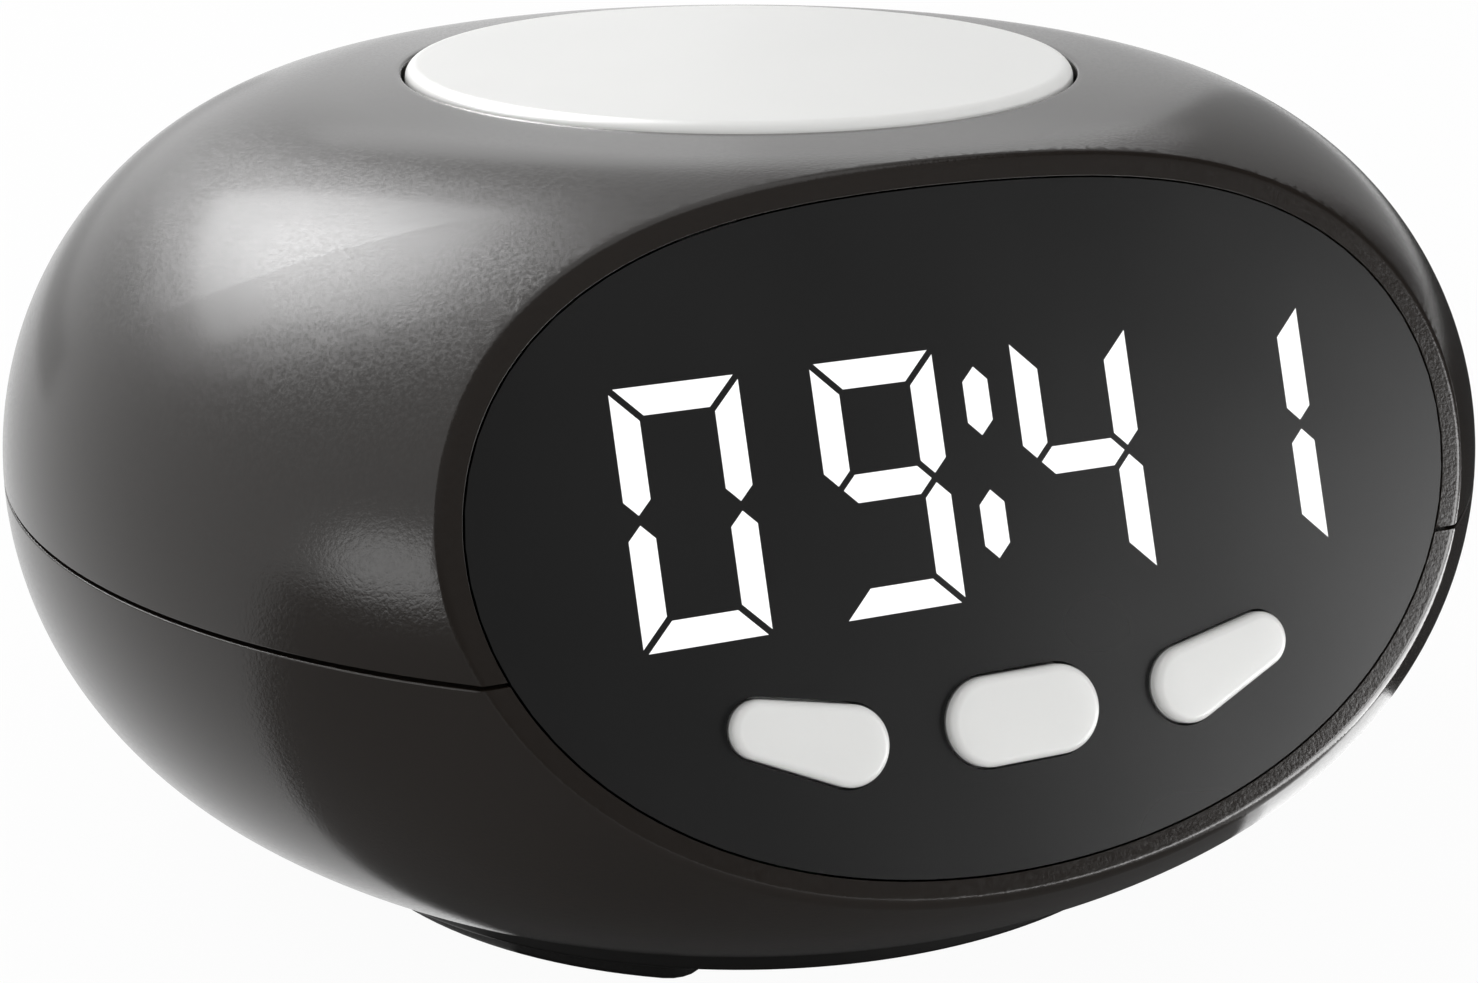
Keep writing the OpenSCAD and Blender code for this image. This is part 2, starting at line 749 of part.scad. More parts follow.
// Seven-segment shapes, from the lower left corner of a digit
function flip_u(pts) = [for (p = pts) [digit_w - p[0], p[1]]];
function flip_v(pts) = [for (p = pts) [p[0], digit_h - p[1]]];
mid_v = digit_h / 2;
top_bar = [
    [seg_gap, digit_h], [digit_w - seg_gap, digit_h],
    [digit_w - seg_gap - stroke, digit_h - stroke], [seg_gap + stroke, digit_h - stroke]
];
left_bar = [
    [0, digit_h - seg_gap], [0, mid_v + seg_gap + stroke / 2], [stroke / 2, mid_v + seg_gap],
    [stroke, mid_v + seg_gap + stroke / 2], [stroke, digit_h - seg_gap - stroke]
];
middle_bar = [
    [stroke / 2 + seg_gap, mid_v], [stroke + seg_gap, mid_v - stroke / 2],
    [digit_w - stroke - seg_gap, mid_v - stroke / 2], [digit_w - stroke / 2 - seg_gap, mid_v],
    [digit_w - stroke - seg_gap, mid_v + stroke / 2], [stroke + seg_gap, mid_v + stroke / 2]
];
segments = [
    top_bar, flip_u(left_bar), flip_u(flip_v(left_bar)), flip_v(top_bar), flip_v(left_bar), left_bar,
    middle_bar
];
// For each digit, which of its seven segments glow
lit = [[1, 1, 1, 1, 1, 1, 0], [1, 1, 1, 1, 0, 1, 1], [0, 1, 1, 0, 0, 1, 1], [0, 1, 1, 0, 0, 0, 0]];
digit_u = [
    -pair_offset - digit_w - digit_pitch, -pair_offset - digit_w,
    pair_offset, pair_offset + digit_pitch
];
function moved(pts, d) = [for (p = pts) p + d];
function colon_mark(v) =
    let (w = stroke / 2, side = colon_len / 2 - w)
    moved([[-w, -side], [0, -colon_len / 2], [w, -side], [w, side], [0, colon_len / 2], [-w, side]], [0, v]);
colon_marks = [colon_mark(digit_v + colon_up), colon_mark(digit_v + colon_low)];
lit_shapes = concat(colon_marks, [
    for (d = [0 : 3]) for (s = [0 : 6]) if (lit[d][s] == 1) moved(segments[s], [digit_u[d], digit_v])
]);
dark_shapes = [
    for (d = [0 : 3]) for (s = [0 : 6]) if (lit[d][s] == 0) moved(segments[s], [digit_u[d], digit_v])
];
function middle(pts) = [for (p = pts) 1] * pts / len(pts);
module prisms(shapes, z0, z1) {
    for (s = shapes) translate([0, 0, z0]) linear_extrude(z1 - z0) polygon(s);
}

// Key shapes
side_big = [side_big_u, side_big_v];
side_small = [side_small_u, side_small_v];
middle_ends = [[-key_half, key_v], [key_half, key_v]];
right_ends = [side_big, side_small];
left_ends = [[-side_big_u, side_big_v], [-side_small_u, side_small_v]];
middle_radii = [key_r, key_r];
side_radii = [side_big_r, side_small_r];
// Outline of two circles and the straight lines that touch both
module capsule(ends, radii, grow) {
    hull() for (i = [0, 1]) translate(ends[i]) circle(radii[i] + grow);
}
module key_end(r) {
    translate([0, 0, key_flange_front])
        cylinder(r = r, h = key_proud - key_edge - key_flange_front, $fn = 40);
    translate([0, 0, key_proud - key_edge]) rotate_extrude($fn = 40)
        translate([r - key_edge, 0]) intersection() {
            circle(key_edge, $fn = 24);
            square(key_edge);
        }
}
module key(ends, radii) {
    color(white) place() on_face() {
        hull() for (i = [0, 1]) translate(ends[i]) key_end(radii[i]);
        translate([0, 0, key_flange_back]) linear_extrude(key_flange_t) capsule(ends, radii, key_flange_w);
    }
}
module left_button() key(left_ends, side_radii);
module middle_button() key(middle_ends, middle_radii);
module right_button() key(right_ends, side_radii);

// Key switches on the display board
function key_mid(ends) = (ends[0] + ends[1]) / 2;
module key_switch(ends) {
    color(black) place() on_face() translate(concat(key_mid(ends), board_front)) difference() {
        translate([-switch_w / 2, -switch_w / 2, 0]) cube([switch_w, switch_w, switch_top - board_front]);
        translate([0, 0, switch_floor]) cylinder(r = key_plunger_r + plunger_gap, h = light_box_t);
    }
}
module key_plunger(ends) {
    color(steel) place() on_face()
        translate(concat(key_mid(ends), switch_top - key_plunger_in))
            cylinder(r = key_plunger_r, h = key_plunger_top - switch_top + key_plunger_in);
}
module left_switch() key_switch(left_ends);
module middle_switch() key_switch(middle_ends);
module right_switch() key_switch(right_ends);
module left_plunger() key_plunger(left_ends);
module middle_plunger() key_plunger(middle_ends);
module right_plunger() key_plunger(right_ends);

// Display
module front_panel() {
    color(black) place() difference() {
        union() {
            face_prism(rim_w + panel_gap, panel_back, 0);
            on_face() at_each(panel_bosses)
                translate([0, 0, board_front]) cylinder(r = panel_boss_r, h = light_box_t + 0.1);
        }
        on_face() {
            prisms(lit_shapes, panel_back - eps, eps);
            prisms(dark_shapes, panel_back - eps, eps);
            translate([0, 0, panel_back - eps]) linear_extrude(panel_t + 2 * eps) {
                capsule(left_ends, side_radii, key_gap);
                capsule(middle_ends, middle_radii, key_gap);
                capsule(right_ends, side_radii, key_gap);
            }
            at_each(panel_bosses)
                translate([0, 0, board_front - eps]) cylinder(r = screw_hole_r, h = light_box_t + eps);
        }
    }
}
module lit_segments() {
    color("white") place() on_face() prisms(lit_shapes, panel_back, 0);
}
module unlit_segments() {
    color(black) place() on_face() prisms(dark_shapes, panel_back, 0);
}
module light_box() {
    half_u = pair_offset + digit_pitch + digit_w + light_box_margin;
    color(white) place() on_face() difference() {
        translate([-half_u, digit_v - light_box_margin, board_front])
            cube([2 * half_u, digit_h + 2 * light_box_margin, light_box_t]);
        prisms(lit_shapes, board_front - eps, panel_back + eps);
        prisms(dark_shapes, board_front - eps, panel_back + eps);
    }
}
module display_board() {
    color(board_green) place() on_face() difference() {
        translate([0, 0, board_back]) linear_extrude(board_t) polygon(display_corners);
        at_each(panel_bosses)
            translate([0, 0, board_back - eps]) cylinder(r = screw_pass_r, h = board_t + 2 * eps);
    }
}
module segment_leds() {
    color("white") place() on_face() for (s = concat(lit_shapes, dark_shapes))
        translate(concat(middle(s), board_front) - [led_size[0] / 2, led_size[1] / 2, 0]) cube(led_size);
}

// Talk button and what carries it
module talk_button() {
    shoulder_r = talk_r - talk_edge;
    top_r = (shoulder_r ^ 2 + talk_crown ^ 2) / (2 * talk_crown);
    crown_z = shoulder_z + talk_crown - top_r;
    color(white) place() {
        rotate_extrude($fn = body_fn) {
            intersection() {
                union() {
                    translate([0, button_under_z]) square([talk_r - talk_edge, 2 * talk_top_t]);
                    translate([0, flange_bottom_z])
                        square([talk_r, shoulder_z - talk_edge - flange_bottom_z]);
                    translate([talk_r - talk_edge, shoulder_z - talk_edge]) circle(talk_edge);
                }
                translate([0, crown_z]) circle(top_r, $fn = 8 * body_fn);
                union() {
                    translate([0, button_under_z]) square([talk_r, 2 * talk_top_t]);
                    translate([talk_r - talk_skirt_t, flange_bottom_z])
                        square([talk_skirt_t, talk_top_t + spring_len]);
                }
            }
            translate([talk_r - talk_skirt_t, flange_bottom_z])
                square([talk_skirt_t + talk_flange_w, talk_flange_t]);
            translate([0, talk_plunger_top + touch_gap])
                square([talk_boss_r, button_under_z - talk_plunger_top - touch_gap + 0.1]);
        }
        at_ring(spring_ring_r, spring_angles)
            translate([0, 0, button_under_z - spring_cup_h]) difference() {
                cylinder(r = spring_r + spring_cup_gap + spring_cup_t, h = spring_cup_h + 0.1);
                translate([0, 0, -eps]) cylinder(r = spring_r + spring_cup_gap, h = spring_cup_h + eps);
            }
    }
}
module button_carrier() {
    color(black) place() difference() {
        union() {
            translate([0, 0, carrier_top_z - carrier_t]) {
                cylinder(r = carrier_r, h = carrier_t, $fn = body_fn);
                for (p = carrier_posts) arm([0, 0], p, carrier_ear_r, carrier_t);
            }
            at_ring(spring_ring_r, spring_angles)
                translate([0, 0, carrier_top_z - carrier_t])
                    cylinder(r = spring_pin_r, h = carrier_t + spring_len / 2);
        }
        translate([0, 0, carrier_top_z - carrier_t - eps]) {
            at_each(carrier_posts) cylinder(r = screw_pass_r, h = carrier_t + 2 * eps);
            translate([0, talk_lead_y, 0])
                cylinder(r = talk_lead_x + 3 * talk_lead_r, h = carrier_t + 2 * eps);
        }
    }
}
module talk_springs() {
    color(steel) place() at_ring(spring_ring_r, spring_angles)
        translate([0, 0, carrier_top_z]) difference() {
            cylinder(r = spring_r, h = spring_len);
            translate([0, 0, -eps]) cylinder(r = spring_r - spring_wire, h = spring_len + 2 * eps);
        }
}
module talk_board() {
    color(board_green) place() translate([-talk_board_size[0] / 2, -talk_board_front, carrier_top_z])
        cube(concat(talk_board_size, board_t));
}
module talk_switch() {
    color(black) place() translate([0, 0, carrier_top_z + board_t]) difference() {
        translate([-talk_switch_w / 2, -talk_switch_w / 2, 0])
            cube([talk_switch_w, talk_switch_w, talk_switch_h]);
        translate([0, 0, talk_switch_floor])
            cylinder(r = talk_plunger_r + plunger_gap, h = talk_switch_h);
    }
}
module talk_plunger() {
    bottom_z = carrier_top_z + board_t + talk_switch_floor + talk_travel + 0.3;
    color("red") place() translate([0, 0, bottom_z])
        cylinder(r = talk_plunger_r, h = talk_plunger_top - bottom_z);
}

// Speaker, facing down on the base plate
module at_speaker() {
    place() translate([0, -speaker_y, plate_top_z]) children();
}
module speaker_basket() {
    inner_r = speaker_r - basket_rim;
    neck_z = speaker_depth - magnet_t;
    color(steel) at_speaker() {
        rotate_extrude() polygon([
            [inner_r, 0], [speaker_r, 0], [speaker_r, speaker_flange_t],
            [inner_r + basket_t, speaker_flange_t], [basket_neck, neck_z], [basket_hole, neck_z],
            [basket_hole, neck_z - basket_t], [basket_neck - basket_t, neck_z - basket_t],
            [inner_r, speaker_flange_t]
        ]);
        translate([-terminal_tab[0] / 2, inner_r - 0.4, speaker_flange_t - 0.4]) cube(terminal_tab);
    }
}
module speaker_magnet() {
    color(steel) at_speaker() translate([0, 0, speaker_depth - magnet_t])
        cylinder(r = magnet_r, h = magnet_t);
}
module speaker_cone() {
    color(black) at_speaker() rotate_extrude() polygon([
        [0, 4 * cone_t], [coil_r - 2 * cone_t, 3 * cone_t], [cone_r, cone_z], [cone_r, cone_z + cone_t],
        [coil_r, coil_top - 1], [coil_r, coil_top], [coil_r - 3 * cone_t, coil_top],
        [coil_r - 3 * cone_t, 6 * cone_t], [0, 5.5 * cone_t]
    ]);
}
module speaker_clamp() {
    color(steel) place() translate([0, 0, plate_top_z + speaker_flange_t]) difference() {
        union() {
            translate([0, -speaker_y, 0]) cylinder(r = speaker_r, h = clamp_t);
            for (p = clamp_bosses) arm([0, -speaker_y], p, clamp_boss_r + 0.4, clamp_t);
        }
        translate([0, -speaker_y, -eps]) cylinder(r = speaker_r - clamp_lap, h = clamp_t + 2 * eps);
        at_each(clamp_bosses) translate([0, 0, -eps]) cylinder(r = screw_pass_r, h = clamp_t + 2 * eps);
    }
}

// Boards and power inlet
module main_board() {
    size = main_board_size;
    color(board_green) place() difference() {
        translate([-size[0] / 2, board_front_y, main_board_z]) cube(concat(size, board_t));
        at_each(main_posts)
            translate([0, 0, main_board_z - eps]) cylinder(r = screw_pass_r, h = board_t + 2 * eps);
    }
}
module speech_chip() {
    color(black) place() translate(concat(chip_at, main_board_top)) cube(chip_size);
}
module board_parts() {
    color(steel) place() translate([0, 0, main_board_top]) {
        at_each(capacitors) cylinder(r = capacitor_r, h = capacitor_h);
        translate(concat(inductor_at, 0)) cube(inductor_size);
        translate([-header_size[0] / 2, header_y, 0]) cube(header_size);
    }
    color(steel) place() on_face()
        translate([-display_header_size[0] / 2, display_header_v, board_back - display_header_size[2]])
            cube(display_header_size);
}
module inlet_board() {
    size = inlet_board_size;
    color(board_green) place() difference() {
        translate([-size[0] / 2, inlet_board_y, main_board_z]) cube(concat(size, board_t));
        for (s = [-1, 1]) translate([s * inlet_post_x, inlet_post_y, main_board_z - eps])
            cylinder(r = screw_pass_r, h = board_t + 2 * eps);
    }
}
module usb_inlet() {
    color(steel) place() translate([0, usb_out_y - usb_len, usb_z]) rotate([-90, 0, 0]) {
        difference() {
            linear_extrude(usb_len) usb_section(0);
            translate([0, 0, usb_back_t]) linear_extrude(usb_len) usb_section(-usb_shell_t);
        }
        translate([-usb_tongue[0] / 2, -usb_tongue[1] / 2, usb_back_t - 0.1])
            cube(concat(usb_tongue, usb_len - usb_back_t - 0.5));
    }
}

// Screws, each with its head down unless turned
module pan_screw(len) {
    translate([0, 0, -pan_head_h]) cylinder(r = pan_head_r, h = pan_head_h);
    translate([0, 0, -0.1]) cylinder(r = screw_r, h = len + 0.1);
}
module hanging_screw(len) {
    mirror([0, 0, 1]) pan_screw(len);
}
module housing_screws() {
    color(steel) place() at_ring(post_ring_r, post_angles)
        translate([0, 0, head_well_top]) pan_screw(housing_screw_len);
}
module base_screws() {
    color(steel) place() at_ring(base_screw_ring_r, base_screw_angles) translate([0, 0, foot_h]) {
        cylinder(r1 = csk_r - 0.1, r2 = screw_r, h = plinth_h);
        cylinder(r = screw_r, h = plinth_h + floor_t + base_screw_bite);
    }
}
module carrier_screws() {
    color(steel) place() at_each(carrier_posts)
        translate([0, 0, carrier_top_z - carrier_t]) pan_screw(carrier_screw_len);
}
module board_screws() {
    color(steel) place() translate([0, 0, main_board_top]) {
        at_each(main_posts) hanging_screw(main_screw_len);
        for (s = [-1, 1]) translate([s * inlet_post_x, inlet_post_y, 0]) hanging_screw(inlet_screw_len);
    }
}
module display_screws() {
    color(steel) place() on_face() at_each(panel_bosses)
        translate([0, 0, board_back]) pan_screw(display_screw_len);
}
module clamp_screws() {
    color(steel) place() at_each(clamp_bosses)
        translate([0, 0, plate_top_z + speaker_flange_t + clamp_t]) hanging_screw(clamp_screw_len);
}

// Leads between the boards
module display_ribbon() {
    start = [board_back - display_header_size[2], display_header_v + display_header_size[1] / 2];
    start_y = -face_y + start[1] * sin(face_tilt) - start[0] * cos(face_tilt);
    start_z = equator_z + start[1] * cos(face_tilt) + start[0] * sin(face_tilt);
    end_y = header_y + header_size[1] / 2;
    end_z = main_board_top + header_size[2];
    t = ribbon_t;
    rise = 5 * t;
    color(copper) place() translate([-ribbon_w / 2, 0, 0]) rotate([90, 0, 90]) linear_extrude(ribbon_w)
        polygon([
            [start_y, start_z], [start_y + 4, start_z + 1], [end_y - t / 2, end_z + rise],
            [end_y - t / 2, end_z], [end_y + t / 2, end_z], [end_y + t / 2, end_z + rise + t],
            [start_y + 4, start_z + 1 + t], [start_y + t * sin(face_tilt), start_z + t * cos(face_tilt)]
        ]);
}
module inlet_leads() {
    start_y = board_back_y - inlet_lead_laps[0];
    end_y = inlet_board_y + inlet_lead_laps[1];
    color(copper) place() translate([-inlet_lead_size[0] / 2, start_y, main_board_top])
        cube([inlet_lead_size[0], end_y - start_y, inlet_lead_size[1]]);
}
module talk_leads() {
    color(copper) place() for (s = [-1, 1]) translate([s * talk_lead_x, talk_lead_y, main_board_top])
        cylinder(r = talk_lead_r, h = carrier_top_z - main_board_top, $fn = 24);
}
module speaker_leads() {
    lead_bottom = plate_top_z + speaker_flange_t - 0.4 + terminal_tab[2];
    lead_y = speaker_r - speaker_y - basket_rim - 0.4 + terminal_tab[1] / 2;
    color(copper) place() for (s = [-1, 1]) translate([s * speaker_lead_x, lead_y, lead_bottom])
        cylinder(r = lead_r, h = main_board_z - lead_bottom, $fn = 24);
}
module cell_leads() {
    lead_bottom = well_ceiling_z + well_ceiling_t + contact_pin_out;
    color(copper) place() for (s = [-1, 1]) translate([s * contact_x, cap_y, lead_bottom])
        cylinder(r = lead_r, h = main_board_z - lead_bottom, $fn = 24);
}

upper_housing();
lower_housing();
base_plate();
left_foot();
right_foot();
battery_cap();
coin_cell();
cell_spring_contact();
cell_side_contact();
front_panel();
lit_segments();
unlit_segments();
light_box();
display_board();
segment_leds();
left_button();
middle_button();
right_button();
left_switch();
middle_switch();
right_switch();
left_plunger();
middle_plunger();
right_plunger();
talk_button();
button_carrier();
talk_springs();
talk_board();
talk_switch();
talk_plunger();
speaker_basket();
speaker_magnet();
speaker_cone();
speaker_clamp();
main_board();
speech_chip();
board_parts();
inlet_board();
usb_inlet();
housing_screws();
base_screws();
carrier_screws();
board_screws();
display_screws();
clamp_screws();
display_ribbon();
inlet_leads();
talk_leads();
speaker_leads();
cell_leads();
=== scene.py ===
"""Visible pieces, finishes and studio of a talking alarm clock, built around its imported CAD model."""

import json
import math

import bmesh
import bpy
from bpy.props import FloatProperty, FloatVectorProperty, IntProperty, PointerProperty
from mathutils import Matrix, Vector


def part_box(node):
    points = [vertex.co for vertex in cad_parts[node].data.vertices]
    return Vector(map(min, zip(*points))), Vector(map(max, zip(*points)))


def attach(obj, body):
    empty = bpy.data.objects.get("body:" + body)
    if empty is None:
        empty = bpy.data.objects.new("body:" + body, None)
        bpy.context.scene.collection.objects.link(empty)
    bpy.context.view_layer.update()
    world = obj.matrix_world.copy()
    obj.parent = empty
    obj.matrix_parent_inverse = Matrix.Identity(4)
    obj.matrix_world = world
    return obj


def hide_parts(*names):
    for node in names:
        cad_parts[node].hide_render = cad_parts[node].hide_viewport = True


bl_info = {
    "name": "Talking alarm clock",
    "version": (1, 0, 0),
    "blender": (4, 5, 0),
    "location": "View3D > Sidebar > Clock",
    "description": "Models the visible pieces of a talking alarm clock and gives them their finishes",
    "category": "Object",
}

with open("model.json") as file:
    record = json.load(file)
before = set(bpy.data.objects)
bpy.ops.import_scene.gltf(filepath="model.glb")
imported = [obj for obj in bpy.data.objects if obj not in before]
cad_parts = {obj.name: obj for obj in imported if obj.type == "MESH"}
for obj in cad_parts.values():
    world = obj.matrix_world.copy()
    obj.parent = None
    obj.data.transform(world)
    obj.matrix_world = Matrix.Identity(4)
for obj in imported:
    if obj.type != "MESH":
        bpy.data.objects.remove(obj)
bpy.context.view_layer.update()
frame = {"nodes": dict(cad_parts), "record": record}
MM = 0.001
PHOTO_WIDTH = 1478
FLOOR_SIZE = 6
AXIS_Y = sum(corner.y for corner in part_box("talk_button")) / 2
SEAM_Z = 35 * MM
MIDDLE = Vector((0, AXIS_Y, SEAM_Z))
LUG_TURNS = (30, 150, 270)
LUG_HALF_ANGLE = 12
NOTCH_ROOM = 3
CAP_TURN = 45
BASE_SCREW_TURNS = (72, 108, 252, 288)


def length(name, description, millimetres, least=0):
    """A length that a user may change, kept in metres"""
    return FloatProperty(name=name, description=description, default=millimetres * MM, min=least * MM,
                         unit="LENGTH", subtype="DISTANCE", precision=4)


def angle(name, description, degrees):
    """An angle that a user may change, kept in radians"""
    return FloatProperty(name=name, description=description, default=math.radians(degrees), subtype="ANGLE")


def colour(name, description, rgb):
    """A colour that a user may change"""
    return FloatVectorProperty(name=name, description=description, default=rgb, size=3, min=0, max=1,
                               subtype="COLOR")


def share(name, description, value):
    """A value from 0 to 1 that a user may change"""
    return FloatProperty(name=name, description=description, default=value, min=0, max=1, subtype="FACTOR")


class ClockBodySizes(bpy.types.PropertyGroup):
    """Sizes of the two housings and of the tilted face"""
    radius: length("Body radius", "Radius at the widest circle", 62.5)
    side_round: length("Side round", "Radius of the full-round side", 31)
    deck_join: angle("Deck join", "Angle at which the side meets the crowned deck", 84.8)
    under_radius: length("Underside radius", "Radius of the underside curve", 44)
    under_join: angle("Underside join", "Angle at which the side meets the underside curve", 50)
    drop: length("Drop", "Depth of the body below its widest circle", 30.9)
    wall: length("Wall", "Wall thickness of the housings", 2.2)
    seam_gap: length("Seam gap", "Height of the shadow line between the housings", 0.3)
    seam_depth: length("Seam depth", "Depth of the shadow line", 0.9)
    seam_round: length("Seam rounding", "Rounding of the shadow line's edges", 0.15)
    tilt: angle("Face tilt", "Backward tilt of the face", 20)
    face_y: length("Face distance", "Distance from the body's axis to the face", 48)
    face_mid: length("Face middle", "Height of the outline's middle above the widest circle", 7)
    rim_width: length("Rim width", "Width of the flat rim around the panel", 1.75)
    rim_round: length("Rim rounding", "Radius of the rim's outer edge", 1.1)
    recess_edge: length("Recess edge", "Rounding of the rim's inner edge", 0.03)
    panel_depth: length("Panel depth", "Depth of the panel's recess", 2.2)
    ledge: length("Ledge", "Width of the ledge behind the panel's edge", 2)
    steps: IntProperty(name="Steps", description="Steps round the body", default=256, min=48)


class ClockKeySizes(bpy.types.PropertyGroup):
    """Sizes of the keys on the face and of the talk button"""
    middle_half: length("Middle key's half length", "From its middle to an end's centre", 2.85)
    middle_radius: length("Middle key's end radius", "Radius of both ends", 3.28)
    middle_v: length("Middle key's height", "Height on the face, along it", -8.28, -50)
    big_radius: length("Side key's large end", "Radius of the large end", 2.94)
    small_radius: length("Side key's small end", "Radius of the small end", 2.13)
    big_u: length("Large end's distance", "Distance of the large end from the face's middle", 13.94)
    small_u: length("Small end's distance", "Distance of the small end from the face's middle", 20.69)
    big_v: length("Large end's height", "Height on the face, along it", -8.19, -50)
    small_v: length("Small end's height", "Height on the face, along it", -5.94, -50)
    proud: length("Key height", "Height of a key above the panel", 1)
    edge: length("Key rounding", "Rounding of a key's edge", 0.6)
    crown: length("Key crown", "Rise of a key's face from its edge to its middle", 0.03)
    talk_radius: length("Talk button's radius", "Radius of the part that is pressed", 28)
    talk_edge: length("Talk button's rounding", "Rounding of the talk button's edge", 1.2)
    talk_crown: length("Talk button's crown", "Rise of the talk button from its shoulder", 0.45)
    talk_gap: length("Talk button's gap", "Clearance around the talk button", 0.3)


class ClockBaseSizes(bpy.types.PropertyGroup):
    """Sizes of the base plate, its screws, the battery cap and the feet"""
    plate_radius: length("Plate radius", "Radius of the base plate", 40)
    plate_height: length("Plate height", "Thickness of the plate's rim", 1.3)
    plate_step: length("Plate step", "Rise of the plate's middle into the housing", 0.5)
    step_radius: length("Step radius", "Radius of the raised middle", 31.2)
    plate_edge: length("Plate rounding", "Rounding of the plate's lower edge", 0.35)
    grille_radius: length("Grille radius", "Radius that the sound slots fill", 13)
    slot_pitch: length("Slot pitch", "Distance between the sound slots", 4.4)
    slot_width: length("Slot width", "Width of a sound slot", 2)
    speaker_y: length("Speaker place", "Distance of the speaker in front of the body's axis", 15)
    cap_radius: length("Cap radius", "Radius of the battery cap", 11.7)
    cap_gap: length("Cap gap", "Clearance around the battery cap", 0.3)
    cap_edge: length("Cap rounding", "Rounding of the cap's lower edge", 0.4)
    lug_radius: length("Lug radius", "Reach of the cap's locking lugs", 12.7)
    lug_height: length("Lug height", "Height of a locking lug", 1.2)
    hole_round: length("Hole rounding", "Rounding of the plate's holes and slots", 0.12)
    slot_round: length("Slot rounding", "Rounding of the coin slot and the lugs", 0.1)
    coin_slot: FloatVectorProperty(name="Coin slot", description="Length, width and depth of the slot",
                                   default=(14 * MM, 1.6 * MM, 1 * MM), size=3, unit="LENGTH", precision=4)
    screw_ring: length("Screw ring", "Radius on which the base screws stand", 35.5)
    screw_head: length("Screw head", "Radius of a countersunk head's hole", 2.4)
    screw_shank: length("Screw shank", "Radius of a screw's hole", 1.3)
    foot_width: length("Foot width", "Width of a rubber foot", 5.6)
    foot_radius: length("Foot radius", "Outer radius of the curve that a foot follows", 36.9)
    foot_half_angle: angle("Foot half angle", "Half the angle that a foot covers", 56.8)
    foot_edge: length("Foot rounding", "Rounding of a foot's lower edge", 0.6)


class ClockColours(bpy.types.PropertyGroup):
    """Colours of the finishes that show"""
    body: colour("Body", "Warm charcoal plastic of the housings", (0.0125, 0.0092, 0.0070))
    panel: colour("Panel", "Satin black panel", (0.004, 0.004, 0.004))
    segment: colour("Lit segment", "Glow of a lit segment", (0.96, 0.96, 0.96))
    key: colour("Keys", "Off-white plastic of the keys", (0.83, 0.83, 0.815))
    talk: colour("Talk button", "White plastic of the talk button", (0.855, 0.855, 0.84))
    base: colour("Base", "Black plastic of the base", (0.006, 0.0055, 0.005))
    body_gloss: share("Body roughness", "Roughness of the housings' plastic", 0.18)
    panel_gloss: share("Panel roughness", "Roughness of the panel", 0.26)


def ray(radius, turn, centre=(0, 0)):
    """Point at a distance from a centre, in a direction in radians"""
    return centre[0] + radius * math.cos(turn), centre[1] + radius * math.sin(turn)


def between(start, end, count):
    """Even steps from a start to an end, both included"""
    return [start + (end - start) * i / count for i in range(count + 1)]


def arc(centre, radius, start, end, count):
    """Points of an arc in degrees, both ends included"""
    return [ray(radius, math.radians(turn), centre) for turn in between(start, end, count)]


